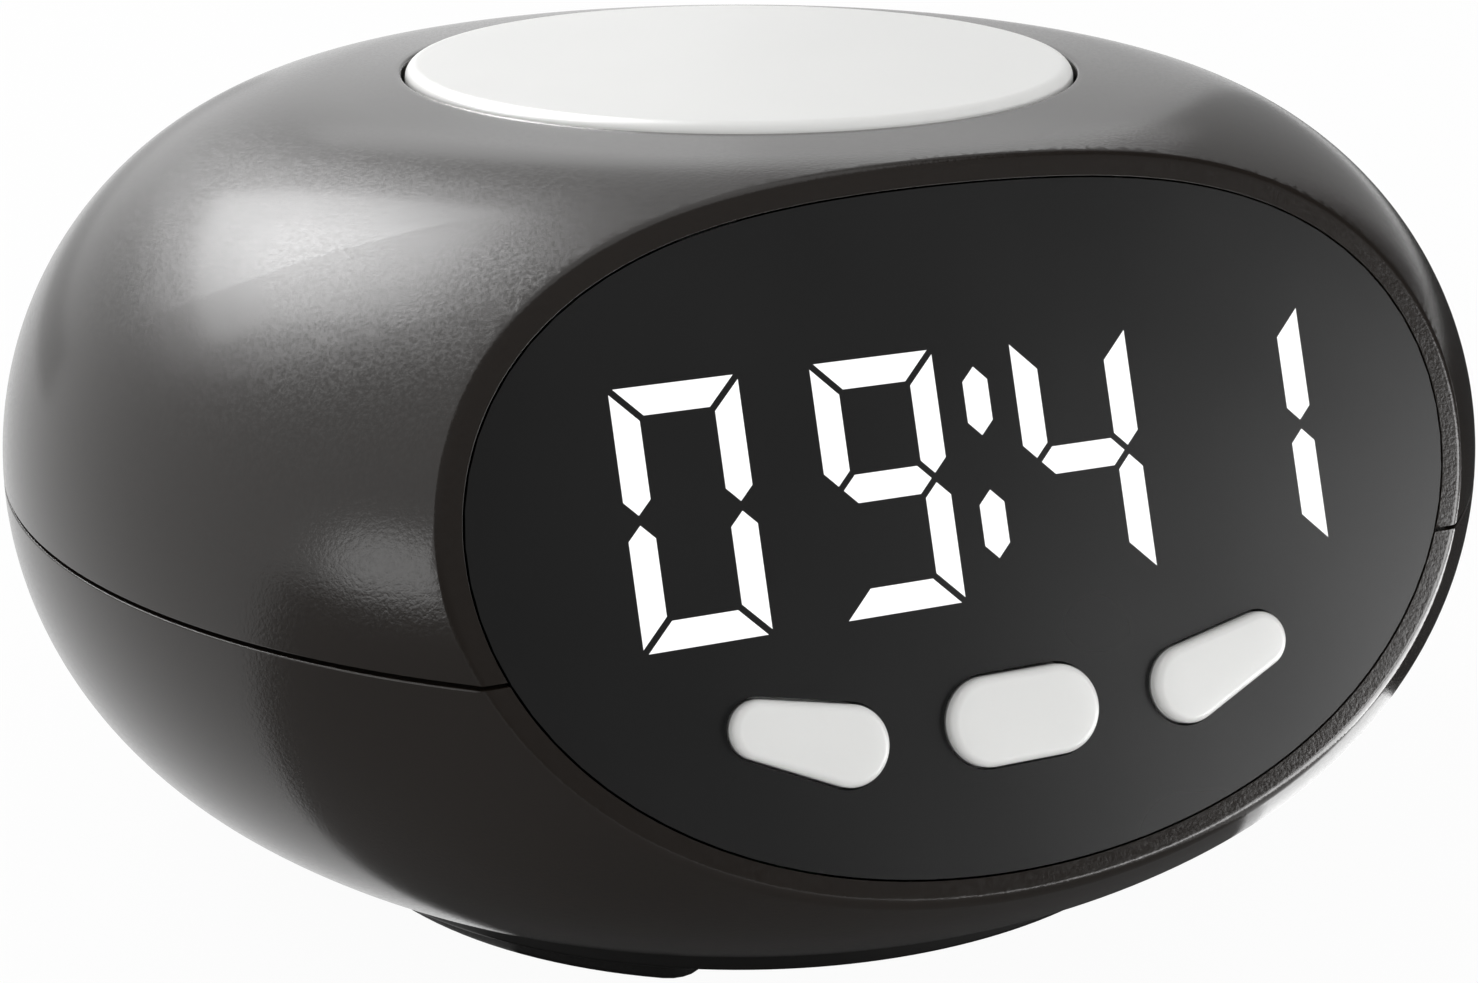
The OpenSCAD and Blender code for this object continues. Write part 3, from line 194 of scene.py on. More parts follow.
class BodyShape:
    """The body's curve of revolution and its tilted face, in heights from the widest circle"""

    def __init__(self, sizes):
        self.sizes = sizes
        self.round_x = sizes.radius - sizes.side_round
        self.deck_z = -self.round_x * math.tan(sizes.deck_join)
        self.deck_radius = sizes.side_round + self.round_x / math.cos(sizes.deck_join)
        step = sizes.under_radius - sizes.side_round
        self.under_x = self.round_x - step * math.cos(sizes.under_join)
        self.under_z = step * math.sin(sizes.under_join)
        self.face_normal = Vector((0, -math.cos(sizes.tilt), math.sin(sizes.tilt)))
        self.face_up = Vector((0, math.sin(sizes.tilt), math.cos(sizes.tilt)))

    def arc_at(self, z, inset):
        """Centre and radius, in radius and height, of the arc that makes the surface at a height"""
        side = self.sizes.side_round - inset
        if z > side * math.sin(self.sizes.deck_join):
            return 0, self.deck_z, self.deck_radius - inset
        if z < -side * math.sin(self.sizes.under_join):
            return self.under_x, self.under_z, self.sizes.under_radius - inset
        return self.round_x, 0, side

    def radius_at(self, z, inset=0):
        """Distance of the surface from the body's axis at a height"""
        x, middle, radius = self.arc_at(z, inset)
        return x + math.sqrt(max(0, radius ** 2 - (z - middle) ** 2))

    def normal_at(self, point, inset):
        """Outward normal of the surface through a point that lies a distance inside the body"""
        x, middle, _ = self.arc_at(point.z, inset)
        reach = math.hypot(point.x, point.y)
        outward = (reach - x) / reach
        return Vector((point.x * outward, point.y * outward, point.z - middle)).normalized()

    def face_point(self, u, v, w=0):
        """Point at u across, v up and w out of the face, from the body's axis at its widest circle"""
        return Vector((u, -self.sizes.face_y, 0)) + v * self.face_up + w * self.face_normal

    def face_reach(self, turn, depth=0):
        """Point in a plane behind the face, where it meets the body made smaller by the same depth"""
        halvings = 40
        inside, outside = 0, self.sizes.radius
        for _ in range(halvings):
            middle = (inside + outside) / 2
            u = middle * math.cos(turn)
            v = self.sizes.face_mid + middle * math.sin(turn)
            point = self.face_point(u, v, -depth)
            if math.hypot(point.x, point.y) < self.radius_at(point.z, depth):
                inside = middle
            else:
                outside = middle
        return u, v

    def outline(self, count):
        """Curve in which the face's plane cuts the body"""
        return [Vector(self.face_reach(2 * math.pi * i / count)) for i in range(count)]

    def upper_curve(self, inset, start, end_radius, count):
        """Outer curve from a height above the seam up to a radius on the deck"""
        side = self.sizes.side_round - inset
        deck = self.deck_radius - inset
        turns = between(math.asin(start / side), self.sizes.deck_join, count)[:-1]
        points = [ray(side, turn, (self.round_x, 0)) for turn in turns]
        turns = between(self.sizes.deck_join, math.acos(end_radius / deck), count=12)
        return points + [ray(deck, turn, (0, self.deck_z)) for turn in turns]

    def lower_curve(self, inset, start, end_z, count):
        """Outer curve from a depth below the seam down to a greater depth"""
        side = self.sizes.side_round - inset
        under = self.sizes.under_radius - inset
        turns = between(math.asin(start / side), self.sizes.under_join, count)[:-1]
        points = [ray(side, -turn, (self.round_x, 0)) for turn in turns]
        turns = between(self.sizes.under_join, math.asin((self.under_z + end_z) / under), count=24)
        return points + [ray(under, -turn, (self.under_x, self.under_z)) for turn in turns]


def inset_ring(points, distance):
    """Ring moved inwards along its own normals; the points run anticlockwise"""
    count = len(points)
    ring = []
    for i, point in enumerate(points):
        along = (points[(i + 1) % count] - points[i - 1]).normalized()
        ring.append(point + distance * Vector((-along.y, along.x)))
    return ring


def deselect():
    """Leave no object selected"""
    bpy.ops.object.select_all(action="DESELECT")


def only(piece):
    """Make a piece the one selected and active object"""
    deselect()
    piece.select_set(True)
    bpy.context.view_layer.objects.active = piece


def settle(piece):
    """Put the piece's place into its mesh, so that its object sits at the origin"""
    only(piece)
    bpy.ops.object.transform_apply(location=True, rotation=True, scale=True)
    return piece


def drawn_line(name, points, closed):
    """A line of edges in the XZ plane: one vertex extruded from point to point"""
    deselect()
    bpy.ops.mesh.primitive_plane_add(size=MM)
    line = bpy.context.object
    line.name = name
    bpy.ops.object.mode_set(mode="EDIT")
    bpy.ops.mesh.select_all(action="SELECT")
    bpy.ops.mesh.merge(type="CENTER")
    bpy.ops.transform.translate(value=(points[0][0], 0, points[0][1]))
    for last, point in zip(points, points[1:]):
        step = (point[0] - last[0], 0, point[1] - last[1])
        bpy.ops.mesh.extrude_region_move(TRANSFORM_OT_translate={"value": step})
    if closed:
        mesh = bmesh.from_edit_mesh(line.data)
        mesh.verts.ensure_lookup_table()
        mesh.verts[0].select_set(True)
        mesh.verts[-1].select_set(True)
        bpy.ops.mesh.edge_face_add()
    bpy.ops.object.mode_set(mode="OBJECT")
    return line


def turned(name, points, steps, closed=True):
    """A piece turned round the body's axis from its half section, a list of radius and height"""
    piece = drawn_line(name, points, closed)
    screw = piece.modifiers.new("Turn", "SCREW")
    screw.steps = steps
    screw.render_steps = steps
    screw.use_merge_vertices = True
    screw.merge_threshold = 0.001 * MM
    screw.use_smooth_shade = True
    only(piece)
    bpy.ops.object.modifier_apply(modifier=screw.name)
    bpy.ops.object.mode_set(mode="EDIT")
    bpy.ops.mesh.select_all(action="SELECT")
    bpy.ops.mesh.remove_doubles(threshold=0.001 * MM)
    bpy.ops.mesh.normals_make_consistent(inside=False)
    bpy.ops.object.mode_set(mode="OBJECT")
    piece.location = (0, AXIS_Y, 0)
    return settle(piece)


def place_ring(piece, points):
    """Move the selected ring of vertices to points, matched by the order they were drawn in"""
    mesh = bmesh.from_edit_mesh(piece.data)
    order = mesh.verts.layers.int["order"]
    for vertex in mesh.verts:
        if vertex.select:
            vertex.co = points[vertex[order]]
    bmesh.update_edit_mesh(piece.data)


def lofted(name, rings):
    """A closed piece through rings of points: a circle extruded from ring to ring and filled"""
    deselect()
    bpy.ops.mesh.primitive_circle_add(vertices=len(rings[0]), radius=MM)
    piece = bpy.context.object
    piece.name = name
    bpy.ops.object.mode_set(mode="EDIT")
    mesh = bmesh.from_edit_mesh(piece.data)
    order = mesh.verts.layers.int.new("order")
    for i, vertex in enumerate(mesh.verts):
        vertex[order] = i
    bpy.ops.mesh.select_all(action="SELECT")
    place_ring(piece, rings[0])
    for ring in rings[1:]:
        bpy.ops.mesh.extrude_region_move()
        place_ring(piece, ring)
    bpy.ops.mesh.edge_face_add()
    bpy.ops.mesh.select_all(action="DESELECT")
    mesh = bmesh.from_edit_mesh(piece.data)
    for edge in mesh.edges:
        if edge.is_boundary:
            edge.select_set(True)
    bpy.ops.mesh.edge_face_add()
    bpy.ops.mesh.select_all(action="SELECT")
    bpy.ops.mesh.normals_make_consistent(inside=False)
    bpy.ops.object.mode_set(mode="OBJECT")
    return piece


def combine(piece, other, operation):
    """Join, or subtract, another piece, which is then deleted"""
    boolean = piece.modifiers.new("Combine", "BOOLEAN")
    boolean.operation = operation
    boolean.solver = "EXACT"
    boolean.object = other
    only(piece)
    bpy.ops.object.modifier_apply(modifier=boolean.name)
    bpy.data.objects.remove(other)


def fuse(piece, other):
    """Make another piece part of this one"""
    combine(piece, other, "UNION")


def cut(piece, cutter):
    """Take the cutter out of the piece"""
    combine(piece, cutter, "DIFFERENCE")


def box_between(name, low, high):
    """A plain cutting block between two corners"""
    deselect()
    bpy.ops.mesh.primitive_cube_add(size=1, location=(Vector(low) + Vector(high)) / 2)
    block = bpy.context.object
    block.name = name
    block.scale = Vector(high) - Vector(low)
    return settle(block)


def smooth(piece, degrees=35):
    """Smooth shading with sharp edges kept, its normals led by the large faces"""
    only(piece)
    bpy.ops.object.shade_smooth_by_angle(angle=math.radians(degrees), keep_sharp_edges=False)
    modifier = piece.modifiers.new("Normals", "WEIGHTED_NORMAL")
    modifier.keep_sharp = True
    modifier.weight = 80
    bpy.ops.object.modifier_apply(modifier=modifier.name)


def bevelled(piece, width, degrees=40, segments=2):
    """Round the piece's sharp edges"""
    bevel = piece.modifiers.new("Edges", "BEVEL")
    bevel.width = width
    bevel.segments = segments
    bevel.limit_method = "ANGLE"
    bevel.angle_limit = math.radians(degrees)
    bevel.use_clamp_overlap = True
    only(piece)
    bpy.ops.object.modifier_apply(modifier=bevel.name)


def merged(piece, other):
    """Two pieces in one mesh, or the second alone where there is no first"""
    if piece is None:
        return other
    only(piece)
    other.select_set(True)
    bpy.ops.object.join()
    return piece


def finished(piece, body, slot, material, *nodes):
    """Hang a piece on its body, in place of CAD nodes, with its finish"""
    piece.data.materials.clear()
    piece.data.materials.append(bpy.data.materials[material])
    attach(piece, body)
    if nodes:
        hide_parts(*nodes)


class Value:
    """A shader socket that can be used in Python sums"""

    def __init__(self, finish, socket):
        self.finish = finish
        self.socket = socket

    def maths(self, operation, *others):
        """Result of a maths node whose first input is this value"""
        return self.finish.node("ShaderNodeMath", {"operation": operation}, dict(enumerate((self, *others))))

    def __add__(self, other):
        return self.maths("ADD", other)

    def __sub__(self, other):
        return self.maths("SUBTRACT", other)

    def __rsub__(self, other):
        return self.maths("MULTIPLY_ADD", -1, other)

    def __mul__(self, other):
        return self.maths("MULTIPLY", other)

    def ranged(self, low, high, new_low, new_high):
        """The value carried from one range to another, and held within it"""
        inputs = {0: self, 1: low, 2: high, 3: new_low, 4: new_high}
        return self.finish.node("ShaderNodeMapRange", {"clamp": True}, inputs)

    __radd__ = __add__
    __rmul__ = __mul__


class Finish:
    """A material under construction: one shader, and the nodes that lead to it"""

    def __init__(self, name="", tree=None, **constants):
        if tree:
            self.tree = tree
            return
        self.material = bpy.data.materials.new(name)
        self.material.use_nodes = True
        self.tree = self.material.node_tree
        self.shader = self.tree.nodes["Principled BSDF"]
        for socket, value in constants.items():
            self.set(socket.replace("_", " "), value)

    def set(self, socket, value):
        """Give a socket of the shader a link, a colour or a number"""
        if isinstance(value, Value):
            self.tree.links.new(value.socket, self.shader.inputs[socket])
        elif isinstance(value, tuple) and len(value) == 3:
            self.shader.inputs[socket].default_value = (*value, 1)
        else:
            self.shader.inputs[socket].default_value = value

    def node(self, kind, settings, inputs, output=0):
        """Add a node, with its settings first and then the values or links of its sockets"""
        node = self.tree.nodes.new(kind)
        for name, value in settings.items():
            setattr(node, name, value)
        for key, value in inputs.items():
            socket = node.inputs[key]
            value = value.socket if isinstance(value, Value) else value
            if isinstance(value, bpy.types.NodeSocket):
                self.tree.links.new(value, socket)
            else:
                socket.default_value = value
        return Value(self, node.outputs[output])

    def place(self):
        """Place on the object, in metres"""
        return self.node("ShaderNodeTexCoord", {}, {}, "Object")

    def noise(self, size, detail=2, roughness=0.5, stretch=None):
        """Noise whose grains are about a length across, from 0 to 1"""
        where = self.place()
        if stretch:
            where = self.node("ShaderNodeMapping", {}, {"Vector": where, "Scale": stretch})
        inputs = {"Vector": where, "Scale": 1 / size, "Detail": detail, "Roughness": roughness}
        return self.node("ShaderNodeTexNoise", {}, inputs, "Fac")

    def mixed(self, first, second, factor):
        """Colour between two colours"""
        inputs = {"Factor": factor, "A": (*first, 1), "B": (*second, 1)}
        return self.node("ShaderNodeMix", {"data_type": "RGBA"}, inputs, "Result")

    def tint(self, dark, light, drift):
        """Base colour that drifts between two colours"""
        self.set("Base Color", self.mixed(dark, light, drift))

    def gloss(self, low, high, drift):
        """Roughness that drifts between two levels"""
        self.set("Roughness", drift.ranged(0.3, 0.7, low, high))

    def relief(self, height, depth):
        """Bump from a height of 0 to 1 that stands for a depth in metres"""
        self.set("Normal", self.node("ShaderNodeBump", {}, {"Height": height, "Distance": depth}, "Normal"))

    def surface(self, shader):
        """Let another shader than the first one make the surface"""
        self.tree.links.new(shader.socket, self.tree.nodes["Material Output"].inputs["Surface"])


def scaled(rgb, factor):
    """A darker or lighter colour"""
    return tuple(min(1, channel * factor) for channel in rgb)


def moulded(name, rgb, roughness, grain=0.35 * MM, depth=0.012 * MM, spread=0.1, ior=1.45):
    """Moulded plastic: fine grain in its relief, and slight drifts in colour and gloss"""
    finish = Finish(name, IOR=ior)
    drift = finish.noise(9 * MM, 3)
    finish.tint(scaled(rgb, 1 - spread), scaled(rgb, 1 + spread), drift)
    finish.gloss(roughness - 0.02, roughness + 0.02, drift)
    finish.relief(finish.noise(grain, 3, 0.6), depth)
    return finish.material


def body_plastic(colours):
    """Warm charcoal plastic with a fine spark-eroded grain, which is deepest near the face"""
    rgb = tuple(colours.body)
    gloss = colours.body_gloss
    full_grain, faint_grain = -38 * MM, -31 * MM
    finish = Finish("charcoal_grained_plastic", IOR=1.5)
    grains = finish.noise(0.3 * MM, 2, 0.6)
    finish.tint(scaled(rgb, 0.88), scaled(rgb, 1.12), finish.noise(14 * MM, 3))
    finish.set("Roughness", grains.ranged(0.35, 0.65, gloss - 0.03, gloss + 0.03))
    backwards = finish.node("ShaderNodeSeparateXYZ", {}, {"Vector": finish.place()}, "Y")
    finish.relief(grains * backwards.ranged(full_grain, faint_grain, 1, 0.1), 0.014 * MM)
    return finish.material


def panel_plastic(colours, name):
    """Satin black sheet with a faint waviness in its gloss"""
    rgb = tuple(colours.panel)
    gloss = colours.panel_gloss
    finish = Finish(name, IOR=1.5)
    drift = finish.noise(22 * MM, 2)
    finish.tint(scaled(rgb, 0.9), scaled(rgb, 1.15), drift)
    finish.gloss(gloss - 0.015, gloss + 0.015, drift)
    finish.relief(finish.noise(0.12 * MM, 1), 0.0015 * MM)
    return finish.material


def glowing_segment(colours):
    """White light guide of a lit segment, whose glow drifts a little"""
    rgb = tuple(colours.segment)
    finish = Finish("segment_glow", Roughness=0.3, Specular_IOR_Level=0.1, Emission_Strength=1.0)
    finish.set("Base Color", (0.2, 0.2, 0.2))
    finish.set("Emission Color", finish.mixed(scaled(rgb, 0.985), rgb, finish.noise(6 * MM, 1)))
    return finish.material


def rubber(name, rgb):
    """Matt rubber with a coarse grain"""
    finish = Finish(name, IOR=1.45)
    grains = finish.noise(0.3 * MM, 3)
    finish.tint(scaled(rgb, 0.8), scaled(rgb, 1.25), finish.noise(5 * MM, 2))
    finish.gloss(0.62, 0.8, grains)
    finish.relief(grains, 0.015 * MM)
    return finish.material


def brushed_metal(name, rgb, roughness):
    """Plated metal with fine upright lines"""
    finish = Finish(name, Metallic=1.0)
    lines = finish.noise(0.25 * MM, 2, 0.6, (1, 1, 12))
    finish.tint(scaled(rgb, 0.85), scaled(rgb, 1.08), finish.noise(3 * MM, 2))
    finish.gloss(roughness - 0.06, roughness + 0.08, lines)
    finish.relief(lines, 0.004 * MM)
    return finish.material


def circuit_laminate():
    """Green solder mask over a woven laminate"""
    finish = Finish("circuit_board_green", IOR=1.5, Coat_Weight=0.4, Coat_Roughness=0.2)
    weave = finish.noise(0.5 * MM, 2, 0.5, (1, 4, 1))
    finish.tint((0.008, 0.07, 0.03), (0.015, 0.12, 0.05), finish.noise(8 * MM, 3))
    finish.gloss(0.35, 0.5, weave)
    finish.relief(weave, 0.01 * MM)
    return finish.material


def pressed_paper():
    """Dark pressed fibres of the speaker's cone"""
    finish = Finish("speaker_cone_paper")
    fibres = finish.noise(0.7 * MM, 5, 0.7)
    finish.tint((0.012, 0.012, 0.012), (0.04, 0.038, 0.035), fibres)
    finish.gloss(0.75, 0.95, fibres)
    finish.relief(fibres, 0.05 * MM)
    return finish.material


def clear_epoxy():
    """Pale amber resin of the segment lamps"""
    finish = Finish("led_epoxy_amber", IOR=1.5)
    drift = finish.noise(0.8 * MM, 2)
    finish.tint((0.75, 0.7, 0.45), (0.9, 0.88, 0.7), drift)
    finish.gloss(0.2, 0.35, drift)
    return finish.material


def rim_section(sizes, shape, turn):
    """Points of the face's cutter at one place round the rim: in front of the face, outside the body,
    then over the rim's rounded edge"""
    slack = math.radians(8)
    ahead, beyond, skirt_length = 35 * MM, 12 * MM, 4 * MM
    steps = 8
    u, v = shape.face_reach(turn, sizes.rim_round)
    centre = shape.face_point(u, v, -sizes.rim_round)
    body_normal = shape.normal_at(centre, sizes.rim_round)
    apart = shape.face_normal.angle(body_normal)
    whole = apart - slack
    fillet = []
    for i in range(steps + 1):
        lean = whole * (1 - i / steps)
        out = shape.face_normal * math.sin(apart - lean) + body_normal * math.sin(lean)
        fillet.append(centre + out * sizes.rim_round / math.sin(apart))
    along = body_normal * math.cos(whole) - shape.face_normal * math.cos(slack)
    skirt = fillet[0] + along.normalized() * skirt_length
    away = Vector((u, v - sizes.face_mid)).normalized()
    up = (skirt - shape.face_point(0, 0)).dot(shape.face_up)
    front = shape.face_point(skirt.x + beyond * away.x, up + beyond * away.y, ahead)
    return [front, skirt, *fillet]


def face_cutter(sizes, shape):
    """What is taken off in front of the face: the rim's rounded edge, the flat rim, the panel's
    recess with its ledge, and the opening through the wall"""
    count = sizes.steps + 64
    sections = [rim_section(sizes, shape, 2 * math.pi * i / count) for i in range(count)]
    rings = [list(ring) for ring in zip(*sections)]
    edge, behind = sizes.recess_edge, 6 * MM
    recess = [(sizes.rim_width - edge * (1 - math.sin(t)), -edge * (1 - math.cos(t)))
              for t in (math.pi / 2 * k / 3 for k in range(4))]
    recess.append((sizes.rim_width, -sizes.panel_depth))
    recess.append((sizes.rim_width + sizes.ledge, -sizes.panel_depth))
    recess.append((sizes.rim_width + sizes.ledge, -behind))
    outline = shape.outline(count)
    for inset, depth in recess:
        rings.append([shape.face_point(p.x, p.y, depth) for p in inset_ring(outline, inset)])
    return lofted("face_cutter", [[MIDDLE + point for point in ring] for ring in rings])


def seam_cutter(sizes):
    """The shadow line's short run across the rim"""
    ahead = 20 * MM
    low = (-sizes.radius, AXIS_Y - sizes.face_y - ahead, SEAM_Z - sizes.seam_gap / 2)
    high = (sizes.radius, AXIS_Y - sizes.face_y + sizes.seam_depth, SEAM_Z + sizes.seam_gap / 2)
    return box_between("seam_cutter", low, high)


def stadium(length, width, count=12):
    """Outline of a bar with round ends, lying along its first axis"""
    end = width / 2
    side = length / 2 - end
    half = [ray(end, math.pi * (i / count - 0.5), (side, 0)) for i in range(count + 1)]
    return half + [(-x, -y) for x, y in half]


def inlet_cutter():
    """Opening with round ends around the power inlet"""
    gap, past, end_steps = 0.2 * MM, 4 * MM, 24
    low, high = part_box("usb_inlet")
    middle = (low + high) / 2
    outline = stadium(high.x - low.x + 2 * gap, high.z - low.z + 2 * gap, end_steps)
    rings = [[Vector((x, y, middle.z + z)) for x, z in outline] for y in (low.y, high.y + past)]
    return lofted("inlet_cutter", rings)


def housing(name, sizes, shape, profile, node, *cutters):
    """One half of the housing, turned from its profile in heights from the widest circle"""
    piece = turned(name, [(radius, z + SEAM_Z) for radius, z in profile], sizes.steps)
    cut(piece, face_cutter(sizes, shape))
    cut(piece, seam_cutter(sizes))
    for cutter in cutters:
        cut(piece, cutter)
    smooth(piece)
    finished(piece, "housing", "body_plastic", "charcoal_grained_plastic", node)


class CLOCK_OT_upper_housing(bpy.types.Operator):
    """Upper housing: the crowned deck with the talk button's hole, down to the shadow line"""
    bl_idname = "clock.upper_housing"
    bl_label = "Upper housing"

    def execute(self, context):
        sizes, keys = context.scene.clock_body, context.scene.clock_keys
        shape = BodyShape(sizes)
        half_gap = sizes.seam_gap / 2
        edge = sizes.seam_round
        hole = keys.talk_radius + keys.talk_gap
        hole_edge, collar_wall, collar_depth = 0.3 * MM, 2 * MM, 6 * MM
        lip = arc((sizes.radius - edge, half_gap + edge), edge, -90, 0, 4)
        outer = shape.upper_curve(0, half_gap + edge, hole + hole_edge, count=64)
        rim_z = outer[-1][1] - hole_edge
        rim = arc((hole + hole_edge, rim_z), hole_edge, 90, 180, 5)
        collar = rim_z - collar_depth
        inner = shape.upper_curve(sizes.wall, 0, hole + collar_wall, count=40)
        profile = [(sizes.radius - sizes.seam_depth, 0), (sizes.radius - sizes.seam_depth, half_gap)]
        profile += lip + outer[1:-1] + rim + [(hole, collar), (hole + collar_wall, collar)]
        profile += inner[::-1]
        housing("upper_shell", sizes, shape, profile, "upper_housing")
        return {"FINISHED"}


class CLOCK_OT_lower_housing(bpy.types.Operator):
    """Lower housing: from the shadow line down the belly to the base"""
    bl_idname = "clock.lower_housing"
    bl_label = "Lower housing"

    def execute(self, context):
        sizes = context.scene.clock_body
        shape = BodyShape(sizes)
        half_gap = sizes.seam_gap / 2
        edge = sizes.seam_round
        floor, opening = 2.4 * MM, 31.5 * MM
        chamfer_height, chamfer_width = 0.2 * MM, 0.3 * MM
        lip = arc((sizes.radius - edge, -half_gap - edge), edge, 90, 0, 4)
        outer = shape.lower_curve(0, half_gap + edge, sizes.drop - chamfer_height, count=56)
        inner = shape.lower_curve(sizes.wall, 0, sizes.drop - floor, count=40)
        profile = [(sizes.radius - sizes.seam_depth, 0), (sizes.radius - sizes.seam_depth, -half_gap)]
        profile += lip + outer[1:] + [(outer[-1][0] - chamfer_width, -sizes.drop)]
        profile += [(opening, -sizes.drop), (opening, floor - sizes.drop)]
        profile += inner[::-1]
        housing("lower_shell", sizes, shape, profile, "lower_housing", inlet_cutter())
        return {"FINISHED"}


class CLOCK_OT_talk_button(bpy.types.Operator):
    """Talk button: a slightly crowned disc with a rounded shoulder, a skirt and a flange"""
    bl_idname = "clock.talk_button"
    bl_label = "Talk button"

    def execute(self, context):
        keys = context.scene.clock_keys
        low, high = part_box("talk_button")
        flange = (high.x - low.x) / 2
        radius = keys.talk_radius
        flange_top = low.z + 1.6 * MM
        skirt_wall = 2 * MM
        shoulder = high.z - keys.talk_crown
        ceiling = shoulder - 2.6 * MM
        inner = radius - keys.talk_edge
        crown = (inner ** 2 + keys.talk_crown ** 2) / (2 * keys.talk_crown)
        crown_steps = 24
        profile = []
        for i in range(crown_steps):
            reach = inner * i / crown_steps
            profile.append((reach, high.z - crown + math.sqrt(crown ** 2 - reach ** 2)))
        profile += arc((inner, shoulder - keys.talk_edge), keys.talk_edge, 88, 0, 10)
        profile += [(radius, flange_top), (flange, flange_top), (flange, low.z)]
        profile += [(radius - skirt_wall, low.z), (radius - skirt_wall, ceiling), (0, ceiling)]
        piece = turned("talk_button_cap", profile, context.scene.clock_body.steps, closed=False)
        smooth(piece)
        finished(piece, "talk_key", "talk_white", "talk_button_white", "talk_button")
        return {"FINISHED"}


def key_ring(ends, radii, inset, count=28):
    """Outline round two circles of a key, drawn in by an inset: two arcs and two straight runs"""
    axis = ends[1] - ends[0]
    base = math.atan2(axis.y, axis.x)
    turn = math.acos((radii[0] - radii[1]) / axis.length)
    ring = []
    for centre, radius, start, end in (
            (ends[1], radii[1] - inset, base - turn, base + turn),
            (ends[0], radii[0] - inset, base + turn, base + 2 * math.pi - turn)):
        ring += [centre + radius * Vector(ray(1, t)) for t in between(start, end, count)]
    return ring


def key_piece(name, shape, keys, ends, radii):
    """A key: a flange behind the panel, straight sides, a rounded edge and a crowned face"""
    flange, back, front = 0.8 * MM, -3.3 * MM, -2.3 * MM
    edge_steps, crown_steps, crown_reach = 8, 4, 0.9
    levels = [(-flange, back), (-flange, front), (0, front)]
    shoulder = keys.proud - keys.crown - keys.edge
    levels += arc((keys.edge, shoulder), keys.edge, 180, 90, edge_steps)
    middle = min(radii) * crown_reach
    for i in range(1, crown_steps + 1):
        part = i / crown_steps
        inset = keys.edge + (middle - keys.edge) * part
        levels.append((inset, keys.proud - keys.crown * (1 - part) ** 2))
    rings = []
    for inset, height in levels:
        ring = key_ring(ends, radii, inset)
        rings.append([MIDDLE + shape.face_point(p.x, p.y, height) for p in ring])
    return lofted(name, rings)


class CLOCK_OT_face_keys(bpy.types.Operator):
    """Three keys on the face, the outer two tapered"""
    bl_idname = "clock.face_keys"
    bl_label = "Face keys"

    def execute(self, context):
        keys = context.scene.clock_keys
        shape = BodyShape(context.scene.clock_body)
        left, right = [[Vector((sign * keys.big_u, keys.big_v)), Vector((sign * keys.small_u, keys.small_v))]
                       for sign in (-1, 1)]
        middle = [Vector((sign * keys.middle_half, keys.middle_v)) for sign in (-1, 1)]
        side_radii = (keys.big_radius, keys.small_radius)
        middle_radii = (keys.middle_radius, keys.middle_radius)
        for side, ends, radii in (("left", left, side_radii), ("middle", middle, middle_radii),
                                  ("right", right, side_radii)):
            piece = key_piece(side + "_key_cap", shape, keys, ends, radii)
            smooth(piece, degrees=40)
            finished(piece, side + "_key", "key_white", "key_off_white", side + "_button")
        return {"FINISHED"}


def foot_outline(width, outer, half_angle, count=48, end_count=10):
    """Curved bar with round ends on the left of the body, anticlockwise"""
    middle = outer - width / 2
    start, end = math.pi - half_angle, math.pi + half_angle
    turns = between(start, end, count)
    half_turn = between(0, math.pi, end_count)[1:-1]
    points = [ray(outer, t) for t in turns]
    points += [ray(width / 2, end + t, ray(middle, end)) for t in half_turn]
    points += [ray(outer - width, t) for t in turns[::-1]]
    points += [ray(width / 2, start + math.pi + t, ray(middle, start)) for t in half_turn]
    return [Vector(point) for point in points]


class CLOCK_OT_feet(bpy.types.Operator):
    """Two curved rubber feet with rounded lower edges"""
    bl_idname = "clock.feet"
    bl_label = "Rubber feet"

    def execute(self, context):
        base = context.scene.clock_base
        low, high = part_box("left_foot")
        edge = base.foot_edge
        levels = [(edge * (1 - math.sin(t)), edge * (1 - math.cos(t)))
                  for t in (math.pi / 2 * k / 5 for k in range(6))]
        levels.append((0, high.z - low.z))
        outline = foot_outline(base.foot_width, base.foot_radius, base.foot_half_angle)
        for side, sign in (("left", 1), ("right", -1)):
            rings = []
            for inset, z in levels:
                ring = inset_ring(outline, inset)
                rings.append([Vector((sign * p.x, p.y + AXIS_Y, low.z + z)) for p in ring])
            piece = lofted(side + "_foot_rubber", rings)
            smooth(piece, degrees=50)
            finished(piece, "housing", "foot_rubber", "foot_rubber_black", side + "_foot")
        return {"FINISHED"}


def prism(name, outline, place, low, high):
    """Upright bar with an outline, at a place, between two heights"""
    rings = [[Vector((place[0] + x, place[1] + y, z)) for x, y in outline] for z in (low, high)]
    return lofted(name, rings)


def tapered(name, place, low, high, low_radius, high_radius, count=48):
    """Round bar that narrows or widens between two heights"""
    rings = [[Vector((*ray(radius, 2 * math.pi * i / count, place), z)) for i in range(count)]
             for z, radius in ((low, low_radius), (high, high_radius))]
    return lofted(name, rings)


def ring_sector(name, place, inner, outer, turn, half, low, high):
    """Part of a ring between two heights, half degrees to each side of turn degrees"""
    steps = range(-3, 4)
    turns = [math.radians(turn + half * step / steps[-1]) for step in steps]
    outline = [ray(outer, t) for t in turns] + [ray(inner, t) for t in turns[::-1]]
    return prism(name, outline, place, low, high)


def base_screw_places(base):
    """Middles of the four base screws"""
    return [ray(base.screw_ring, math.radians(turn), (0, AXIS_Y)) for turn in BASE_SCREW_TURNS]


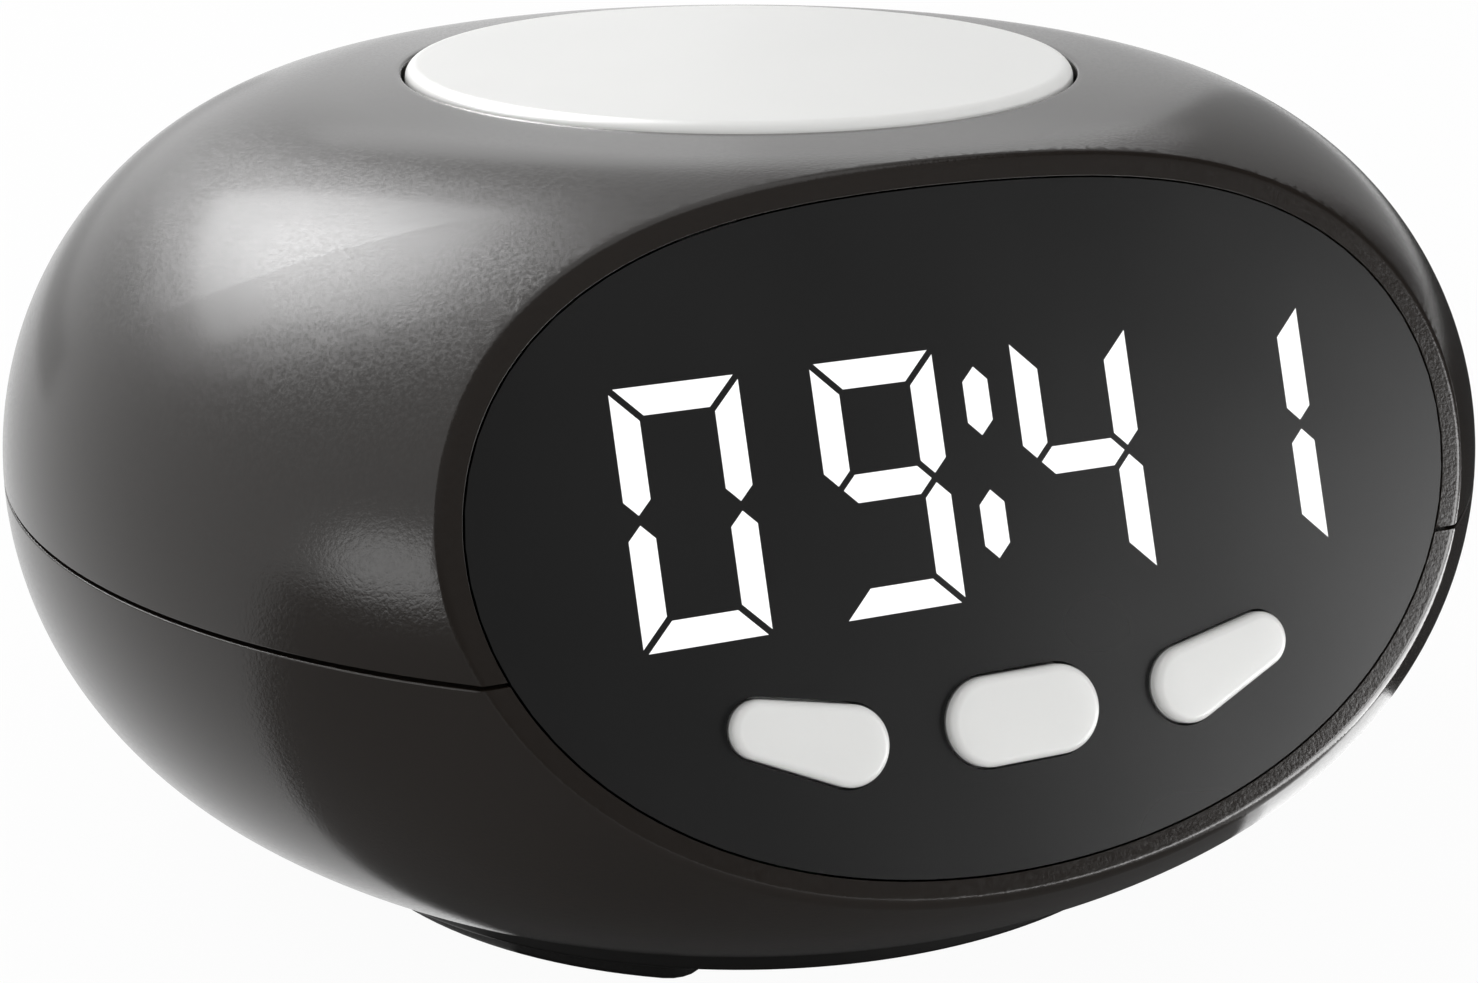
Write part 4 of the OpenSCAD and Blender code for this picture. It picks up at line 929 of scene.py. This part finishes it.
class CLOCK_OT_base_plate(bpy.types.Operator):
    """Base plate: a thin black disc with sound slots, countersunk holes and the battery cap's hole"""
    bl_idname = "clock.base_plate"
    bl_label = "Base plate"

    def execute(self, context):
        base = context.scene.clock_base
        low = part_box("base_plate")[0].z
        rim, step = low + base.plate_height, low + base.plate_height + base.plate_step
        edge = base.plate_edge
        past = 1 * MM
        profile = [(0, step), (base.step_radius, step), (base.step_radius, rim), (base.plate_radius, rim)]
        profile += arc((base.plate_radius - edge, low + edge), edge, 0, -90, 5) + [(0, low)]
        piece = turned("base_plate_disc", profile, steps=192, closed=False)
        count = int(base.grille_radius / base.slot_pitch)
        for i in range(-count, count + 1):
            y = i * base.slot_pitch
            slot = stadium(2 * math.sqrt(base.grille_radius ** 2 - y ** 2), base.slot_width)
            cut(piece, prism("slot_cutter", slot, (0, AXIS_Y - base.speaker_y + y), low - past, step + past))
        cap_place = (0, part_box("battery_cap")[1].y - base.cap_radius)
        cap_hole = base.cap_radius + base.cap_gap
        cut(piece, tapered("cap_cutter", cap_place, low - past, step + past, cap_hole, cap_hole, count=96))
        for turn in LUG_TURNS:
            cut(piece, ring_sector("notch_cutter", cap_place, base.cap_radius - past,
                                   base.lug_radius + base.cap_gap, turn - CAP_TURN,
                                   LUG_HALF_ANGLE + NOTCH_ROOM, low - past, step + past))
        for place in base_screw_places(base):
            grow = past * (base.screw_head - base.screw_shank) / base.plate_height
            cut(piece, tapered("screw_cutter", place, low - past, rim + past,
                               base.screw_head + grow, base.screw_shank - grow))
        bevelled(piece, base.hole_round)
        smooth(piece)
        finished(piece, "housing", "base_plastic", "base_moulded_black", "base_plate")
        return {"FINISHED"}


class CLOCK_OT_battery_cap(bpy.types.Operator):
    """Battery cap: a coin-slotted disc with three locking lugs"""
    bl_idname = "clock.battery_cap"
    bl_label = "Battery cap"

    def execute(self, context):
        base = context.scene.clock_base
        low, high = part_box("battery_cap")
        place = (0, high.y - base.cap_radius)
        edge = base.cap_edge
        overlap = 1 * MM
        profile = [(0, high.z), (base.cap_radius, high.z)]
        profile += arc((base.cap_radius - edge, low.z + edge), edge, 0, -90, 5) + [(0, low.z)]
        piece = turned("battery_cap_disc", profile, steps=96, closed=False)
        piece.location = (0, place[1] - AXIS_Y, 0)
        settle(piece)
        for turn in LUG_TURNS:
            fuse(piece, ring_sector("lug", place, base.cap_radius - overlap, base.lug_radius, turn,
                                    LUG_HALF_ANGLE, high.z - base.lug_height, high.z))
        slot_length, slot_width, slot_depth = base.coin_slot
        cut(piece, prism("coin_slot_cutter", stadium(slot_length, slot_width), place,
                         low.z - overlap, low.z + slot_depth))
        bevelled(piece, base.slot_round)
        smooth(piece)
        finished(piece, "cap", "base_plastic", "base_moulded_black", "battery_cap")
        return {"FINISHED"}


def cross_screw(base, low, high):
    """One countersunk screw at the origin, its head downwards, with a cross recess"""
    fit, edge, tip, past = 0.1 * MM, 0.1 * MM, 0.6 * MM, 0.2 * MM
    head, shank = base.screw_head - fit, base.screw_shank - fit
    profile = [(0, low), (head - edge, low), (head, low + edge), (shank, low + base.plate_height)]
    profile += [(shank, high - tip), (0, high)]
    screw = turned("base_screw_heads", profile, steps=48, closed=False)
    screw.location = (0, -AXIS_Y, 0)
    settle(screw)
    long, short, depth = 1.5 * MM, 0.36 * MM, 0.9 * MM
    mouth, foot = 1.05, 0.5
    for x, y in ((long, short), (short, long)):
        corners = [(-x, -y), (x, -y), (x, y), (-x, y)]
        rings = [[Vector((a * part, b * part, z)) for a, b in corners]
                 for z, part in ((low - past, mouth), (low + depth, foot))]
        cut(screw, lofted("recess_cutter", rings))
    smooth(screw)
    return screw


class CLOCK_OT_base_screws(bpy.types.Operator):
    """Four countersunk screws with cross recesses that hold the base plate"""
    bl_idname = "clock.base_screws"
    bl_label = "Base screws"

    def execute(self, context):
        base = context.scene.clock_base
        low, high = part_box("base_screws")
        screws = None
        for place in base_screw_places(base):
            screw = cross_screw(base, low.z, high.z)
            screw.location = (*place, 0)
            screws = merged(screws, settle(screw))
        finished(screws, "housing", "steel", "plated_steel", "base_screws")
        return {"FINISHED"}


def inlet_shell(low, high):
    """Drawn shell of the power inlet, with a rolled mouth"""
    middle = (low + high) / 2
    size = high - low
    wall, lip, back_wall = 0.35 * MM, 0.12 * MM, 1 * MM
    levels = [(0, low.y), (0, high.y - lip), (lip / 3, high.y - lip / 3), (lip, high.y),
              (wall - lip, high.y), (wall - lip / 3, high.y - lip / 3), (wall, high.y - lip),
              (wall, low.y + back_wall)]
    rings = [[Vector((middle.x + x, y, middle.z + z))
              for x, z in stadium(size.x - 2 * inset, size.z - 2 * inset)] for inset, y in levels]
    return lofted("inlet_shell", rings)


def inlet_contacts(middle, height, back, front):
    """Two rows of contact strips, on the tongue's upper and lower face"""
    count, pitch = 12, 0.5 * MM
    half_width, half_thickness = 0.125 * MM, 0.04 * MM
    contacts = None
    for z in (middle.z - height, middle.z + height):
        for i in range(count):
            x = middle.x + (i - (count - 1) / 2) * pitch
            contacts = merged(contacts, box_between("inlet_contacts",
                                                    (x - half_width, back, z - half_thickness),
                                                    (x + half_width, front, z + half_thickness)))
    return contacts


class CLOCK_OT_power_inlet(bpy.types.Operator):
    """Power inlet at the back: a drawn steel shell with a rolled mouth, its tongue and contacts"""
    bl_idname = "clock.power_inlet"
    bl_label = "Power inlet"

    def execute(self, context):
        low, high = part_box("usb_inlet")
        middle = (low + high) / 2
        piece = inlet_shell(low, high)
        smooth(piece)
        finished(piece, "housing", "steel", "plated_steel", "usb_inlet")
        half_width, half_height, edge = 3.3 * MM, 0.35 * MM, 0.15 * MM
        back, front = low.y + 0.9 * MM, high.y - 0.5 * MM
        tongue = box_between("inlet_tongue", (middle.x - half_width, back, middle.z - half_height),
                             (middle.x + half_width, front, middle.z + half_height))
        bevelled(tongue, edge)
        smooth(tongue)
        finished(tongue, "housing", "inner_black", "inner_moulded_black")
        contacts = inlet_contacts(middle, half_height, back, front - 0.8 * MM)
        smooth(contacts)
        finished(contacts, "housing", "contact_brass", "contact_strip_brass")
        return {"FINISHED"}


class CLOCK_OT_finishes(bpy.types.Operator):
    """Materials of every piece, and those of the CAD pieces that stay"""
    bl_idname = "clock.finishes"
    bl_label = "Finishes"

    def execute(self, context):
        colours = context.scene.clock_colours
        white = (0.78, 0.78, 0.77)
        black = (0.012, 0.012, 0.012)
        base = tuple(colours.base)
        by_slot = {
            "body_plastic": body_plastic(colours),
            "base_plastic": moulded("base_moulded_black", base, 0.5),
            "foot_rubber": rubber("foot_rubber_black", scaled(base, 0.9)),
            "panel_black": panel_plastic(colours, "panel_satin_black"),
            "segment_lit": glowing_segment(colours),
            "segment_dark": panel_plastic(colours, "segment_smoked_black"),
            "inner_white": moulded("inner_moulded_white", white, 0.5),
            "circuit_board": circuit_laminate(),
            "led_epoxy": clear_epoxy(),
            "key_white": moulded("key_off_white", tuple(colours.key), 0.34,
                                 grain=0.5 * MM, depth=0.003 * MM, spread=0.015),
            "talk_white": moulded("talk_button_white", tuple(colours.talk), 0.34,
                                  grain=0.6 * MM, depth=0.002 * MM, spread=0.01, ior=1.36),
            "inner_black": moulded("inner_moulded_black", black, 0.45),
            "steel": brushed_metal("plated_steel", (0.6, 0.6, 0.62), 0.32),
            "contact_brass": brushed_metal("contact_strip_brass", (0.8, 0.6, 0.3), 0.3),
            "magnet": moulded("ferrite_grey", (0.05, 0.05, 0.055), 0.6, grain=0.6 * MM, depth=0.03 * MM),
            "cone_paper": pressed_paper(),
            "lead_plastic": moulded("lead_sleeve_grey", (0.45, 0.45, 0.43), 0.45),
        }
        slots = {part["node"]: part["material_slot"] for part in frame["record"]["subparts"]}
        for name, node in frame["nodes"].items():
            node.data.materials.clear()
            node.data.materials.append(by_slot[slots[name]])
        return {"FINISHED"}


class CLOCK_OT_studio(bpy.types.Operator):
    """Camera, soft lamps, white world and pale floor"""
    bl_idname = "clock.studio"
    bl_label = "Studio"

    def execute(self, context):
        scene = context.scene
        scene.view_settings.view_transform = "Standard"
        scene.camera = photo_camera()
        softbox("box_high_left", -144.5, 46, 36.5, 32, 2.4, shape="RECTANGLE")
        softbox("box_high_left_mirrored", -144.5, 46, 36.5, 32, 88, mirrored=True, shape="RECTANGLE")
        softbox("box_back_mirrored", 155, 28, 40, 16, 0.5, mirrored=True)
        softbox("box_low_left", -72, 4, 20, 18, 2.3)
        softbox("box_low_right", 48, -2, 28, 28, 8)
        softbox("box_low_right_mirrored", 48, -2, 28, 36, 4.5, mirrored=True)
        deselect()
        bpy.ops.mesh.primitive_plane_add(size=FLOOR_SIZE)
        floor = context.object
        floor.name = "floor"
        floor.data.materials.append(floor_material())
        curtain("front_curtain", -52, 62, (0.11, 0.26))
        curtain("side_curtain", 62, 121, (0.06, 0.06))
        curtain("near_back_curtain", 121, 140, (0.38, 0.38))
        curtain("back_curtain", 140, 156, (0.76, 0.76))
        curtain("low_back_skirt", 172, 212, (0.62, 0.62), radius=0.7, height=0.09)
        floor_card("front_card", (-600 * MM, -600 * MM), (34 * MM, AXIS_Y - 22 * MM), 0.34)
        floor_card("side_card", (66 * MM, -52 * MM), (700 * MM, 400 * MM), 0.04)
        glow_card("right_glow_card", (60 * MM, -240 * MM), (280 * MM, -57 * MM), 10)
        glow_card("near_glow_card", (37 * MM, -55 * MM), (66 * MM, -16 * MM), 1.7)
        white_room(scene, fill=0.66)
        return {"FINISHED"}


def photo_camera():
    """The camera as fitted to the photograph"""
    place = Vector((-94.17, -213.26, 108.76)) * MM + Vector((0, AXIS_Y, 0))
    tilt, turn = math.radians(72.483), math.radians(-23.826)
    sensor, focal_pixels = 36, 2789.7
    bpy.ops.object.camera_add(location=place, rotation=(tilt, 0, turn))
    camera = bpy.context.object
    camera.data.sensor_width = sensor
    camera.data.lens = focal_pixels * sensor / PHOTO_WIDTH
    camera.data.shift_y = -0.05
    return camera


def softbox(name, azimuth, elevation, width, height, brightness, mirrored=False, distance=0.9,
            shape="ELLIPSE"):
    """A soft box in a direction from the clock, in degrees (azimuth 0 is in front of the face, 90 on
    its right), as wide and high as angles, and as bright as a surface of that strength. A mirrored
    one adds to reflections alone"""
    turn, rise = math.radians(azimuth), math.radians(elevation)
    towards = Vector((math.sin(turn) * math.cos(rise), -math.cos(turn) * math.cos(rise), math.sin(rise)))
    bpy.ops.object.light_add(type="AREA", location=MIDDLE + towards * distance,
                             rotation=towards.to_track_quat("Z", "Y").to_euler())
    box = bpy.context.object
    box.name = name
    box.data.shape = shape
    box.data.size = 2 * distance * math.tan(math.radians(width / 2))
    box.data.size_y = 2 * distance * math.tan(math.radians(height / 2))
    area = box.data.size * box.data.size_y * (math.pi / 4 if shape == "ELLIPSE" else 1)
    box.data.energy = brightness * math.pi * area
    box.visible_diffuse = not mirrored


def reflected_only(card, material):
    """Let a card show in reflections alone"""
    card.data.materials.append(material)
    card.visible_camera = False
    card.visible_diffuse = False
    card.visible_shadow = False


def curtain(name, start, end, levels, radius=1.6, height=3.2):
    """A dim upright curtain round part of the studio, between two azimuths in degrees, with a level for
    its foot and one for its upper part"""
    foot_height, upper_height, sides = 0.35, 0.75, 180
    deselect()
    bpy.ops.mesh.primitive_cylinder_add(vertices=sides, radius=radius, depth=height,
                                        end_fill_type="NOTHING", location=(0, 0, height / 2))
    card = bpy.context.object
    card.name = name
    settle(card)
    bpy.ops.object.mode_set(mode="EDIT")
    bpy.ops.mesh.select_all(action="DESELECT")
    mesh = bmesh.from_edit_mesh(card.data)
    for face in mesh.faces:
        middle = face.calc_center_median()
        azimuth = math.degrees(math.atan2(middle.x, -middle.y))
        face.select_set((azimuth - start) % 360 > end - start)
    bpy.ops.mesh.delete(type="FACE")
    bpy.ops.object.mode_set(mode="OBJECT")
    finish = Finish(name + "_level")
    level = finish.node("ShaderNodeSeparateXYZ", {}, {"Vector": finish.place()}, "Z")
    rise = level.ranged(foot_height, upper_height, 0, 1)
    grey = finish.mixed((levels[0],) * 3, (levels[1],) * 3, rise)
    finish.surface(finish.node("ShaderNodeEmission", {}, {"Color": grey}))
    reflected_only(card, finish.material)


def lying_card(name, low, high):
    """A card lying on the floor between two corners"""
    deselect()
    above_floor = 0.2 * MM
    middle = ((low[0] + high[0]) / 2, (low[1] + high[1]) / 2, above_floor)
    bpy.ops.mesh.primitive_plane_add(size=1, location=middle)
    card = bpy.context.object
    card.name = name
    card.scale = (high[0] - low[0], high[1] - low[1], 1)
    return settle(card)


def floor_card(name, low, high, level):
    """A dim matt card lying on the floor, which darkens what is mirrored"""
    finish = Finish(name + "_matt", Roughness=1.0, Specular_IOR_Level=0.0)
    finish.set("Base Color", (level, level, level))
    reflected_only(lying_card(name, low, high), finish.material)


def glow_card(name, low, high, level):
    """A bright card lying on the floor, as a lamp's pool of light is mirrored"""
    finish = Finish(name + "_level")
    finish.surface(finish.node("ShaderNodeEmission", {}, {"Strength": level}))
    reflected_only(lying_card(name, low, high), finish.material)


def seen_or_mirrored(finish):
    """1 for rays that come from the camera, a mirror or glass, and 0 for light that falls on things"""
    kinds = [finish.node("ShaderNodeLightPath", {}, {}, kind)
             for kind in ("Is Camera Ray", "Is Glossy Ray", "Is Transmission Ray")]
    return kinds[0].maths("MAXIMUM", kinds[1]).maths("MAXIMUM", kinds[2])


def white_room(scene, fill):
    """A white world where it is seen or mirrored, and a plain fill light elsewhere"""
    world = bpy.data.worlds.new("white_room")
    scene.world = world
    world.use_nodes = True
    room = Finish(tree=world.node_tree)
    level = seen_or_mirrored(room).ranged(0, 1, fill, 1)
    background = world.node_tree.nodes["Background"]
    background.inputs["Color"].default_value = (1, 1, 1, 1)
    world.node_tree.links.new(level.socket, background.inputs["Strength"])


def floor_material():
    """Pale floor that is seen as white, but for the object's shadow"""
    finish = Finish("floor_pale", Roughness=0.9, Specular_IOR_Level=0.0)
    finish.set("Base Color", (0.9, 0.9, 0.9))
    light = finish.node("ShaderNodeEmission", {}, {"Strength": 1})
    share_of_white = 0.96
    white = seen_or_mirrored(finish) * share_of_white
    finish.surface(finish.node("ShaderNodeMixShader", {}, {0: white, 1: finish.shader.outputs[0], 2: light}))
    return finish.material


OPERATORS = (
    CLOCK_OT_finishes,
    CLOCK_OT_upper_housing,
    CLOCK_OT_lower_housing,
    CLOCK_OT_talk_button,
    CLOCK_OT_face_keys,
    CLOCK_OT_feet,
    CLOCK_OT_base_plate,
    CLOCK_OT_battery_cap,
    CLOCK_OT_base_screws,
    CLOCK_OT_power_inlet,
    CLOCK_OT_studio,
)


class CLOCK_PT_panel(bpy.types.Panel):
    """Lists the clock's steps and sizes in the sidebar"""
    bl_idname = "CLOCK_PT_panel"
    bl_label = "Talking alarm clock"
    bl_space_type = "VIEW_3D"
    bl_region_type = "UI"
    bl_category = "Clock"

    def draw(self, context):
        for operator in OPERATORS:
            self.layout.operator(operator.bl_idname)
        for group in GROUPS:
            box = self.layout.box()
            for name in GROUPS[group].__annotations__:
                box.prop(getattr(context.scene, group), name)


GROUPS = {"clock_body": ClockBodySizes, "clock_keys": ClockKeySizes, "clock_base": ClockBaseSizes,
          "clock_colours": ClockColours}


def register():
    """Make the sizes, the operators and the panel known to Blender"""
    for group in GROUPS.values():
        bpy.utils.register_class(group)
    for operator in OPERATORS:
        bpy.utils.register_class(operator)
    bpy.utils.register_class(CLOCK_PT_panel)
    for name, group in GROUPS.items():
        setattr(bpy.types.Scene, name, PointerProperty(type=group))


def unregister():
    """Take back what register made known"""
    for name in GROUPS:
        delattr(bpy.types.Scene, name)
    for item in (CLOCK_PT_panel, *OPERATORS, *GROUPS.values()):
        bpy.utils.unregister_class(item)


def main():
    """Build the whole clock"""
    register()
    for operator in OPERATORS:
        group, name = operator.bl_idname.split(".")
        getattr(getattr(bpy.ops, group), name)()


if __name__ == "__main__":
    main()
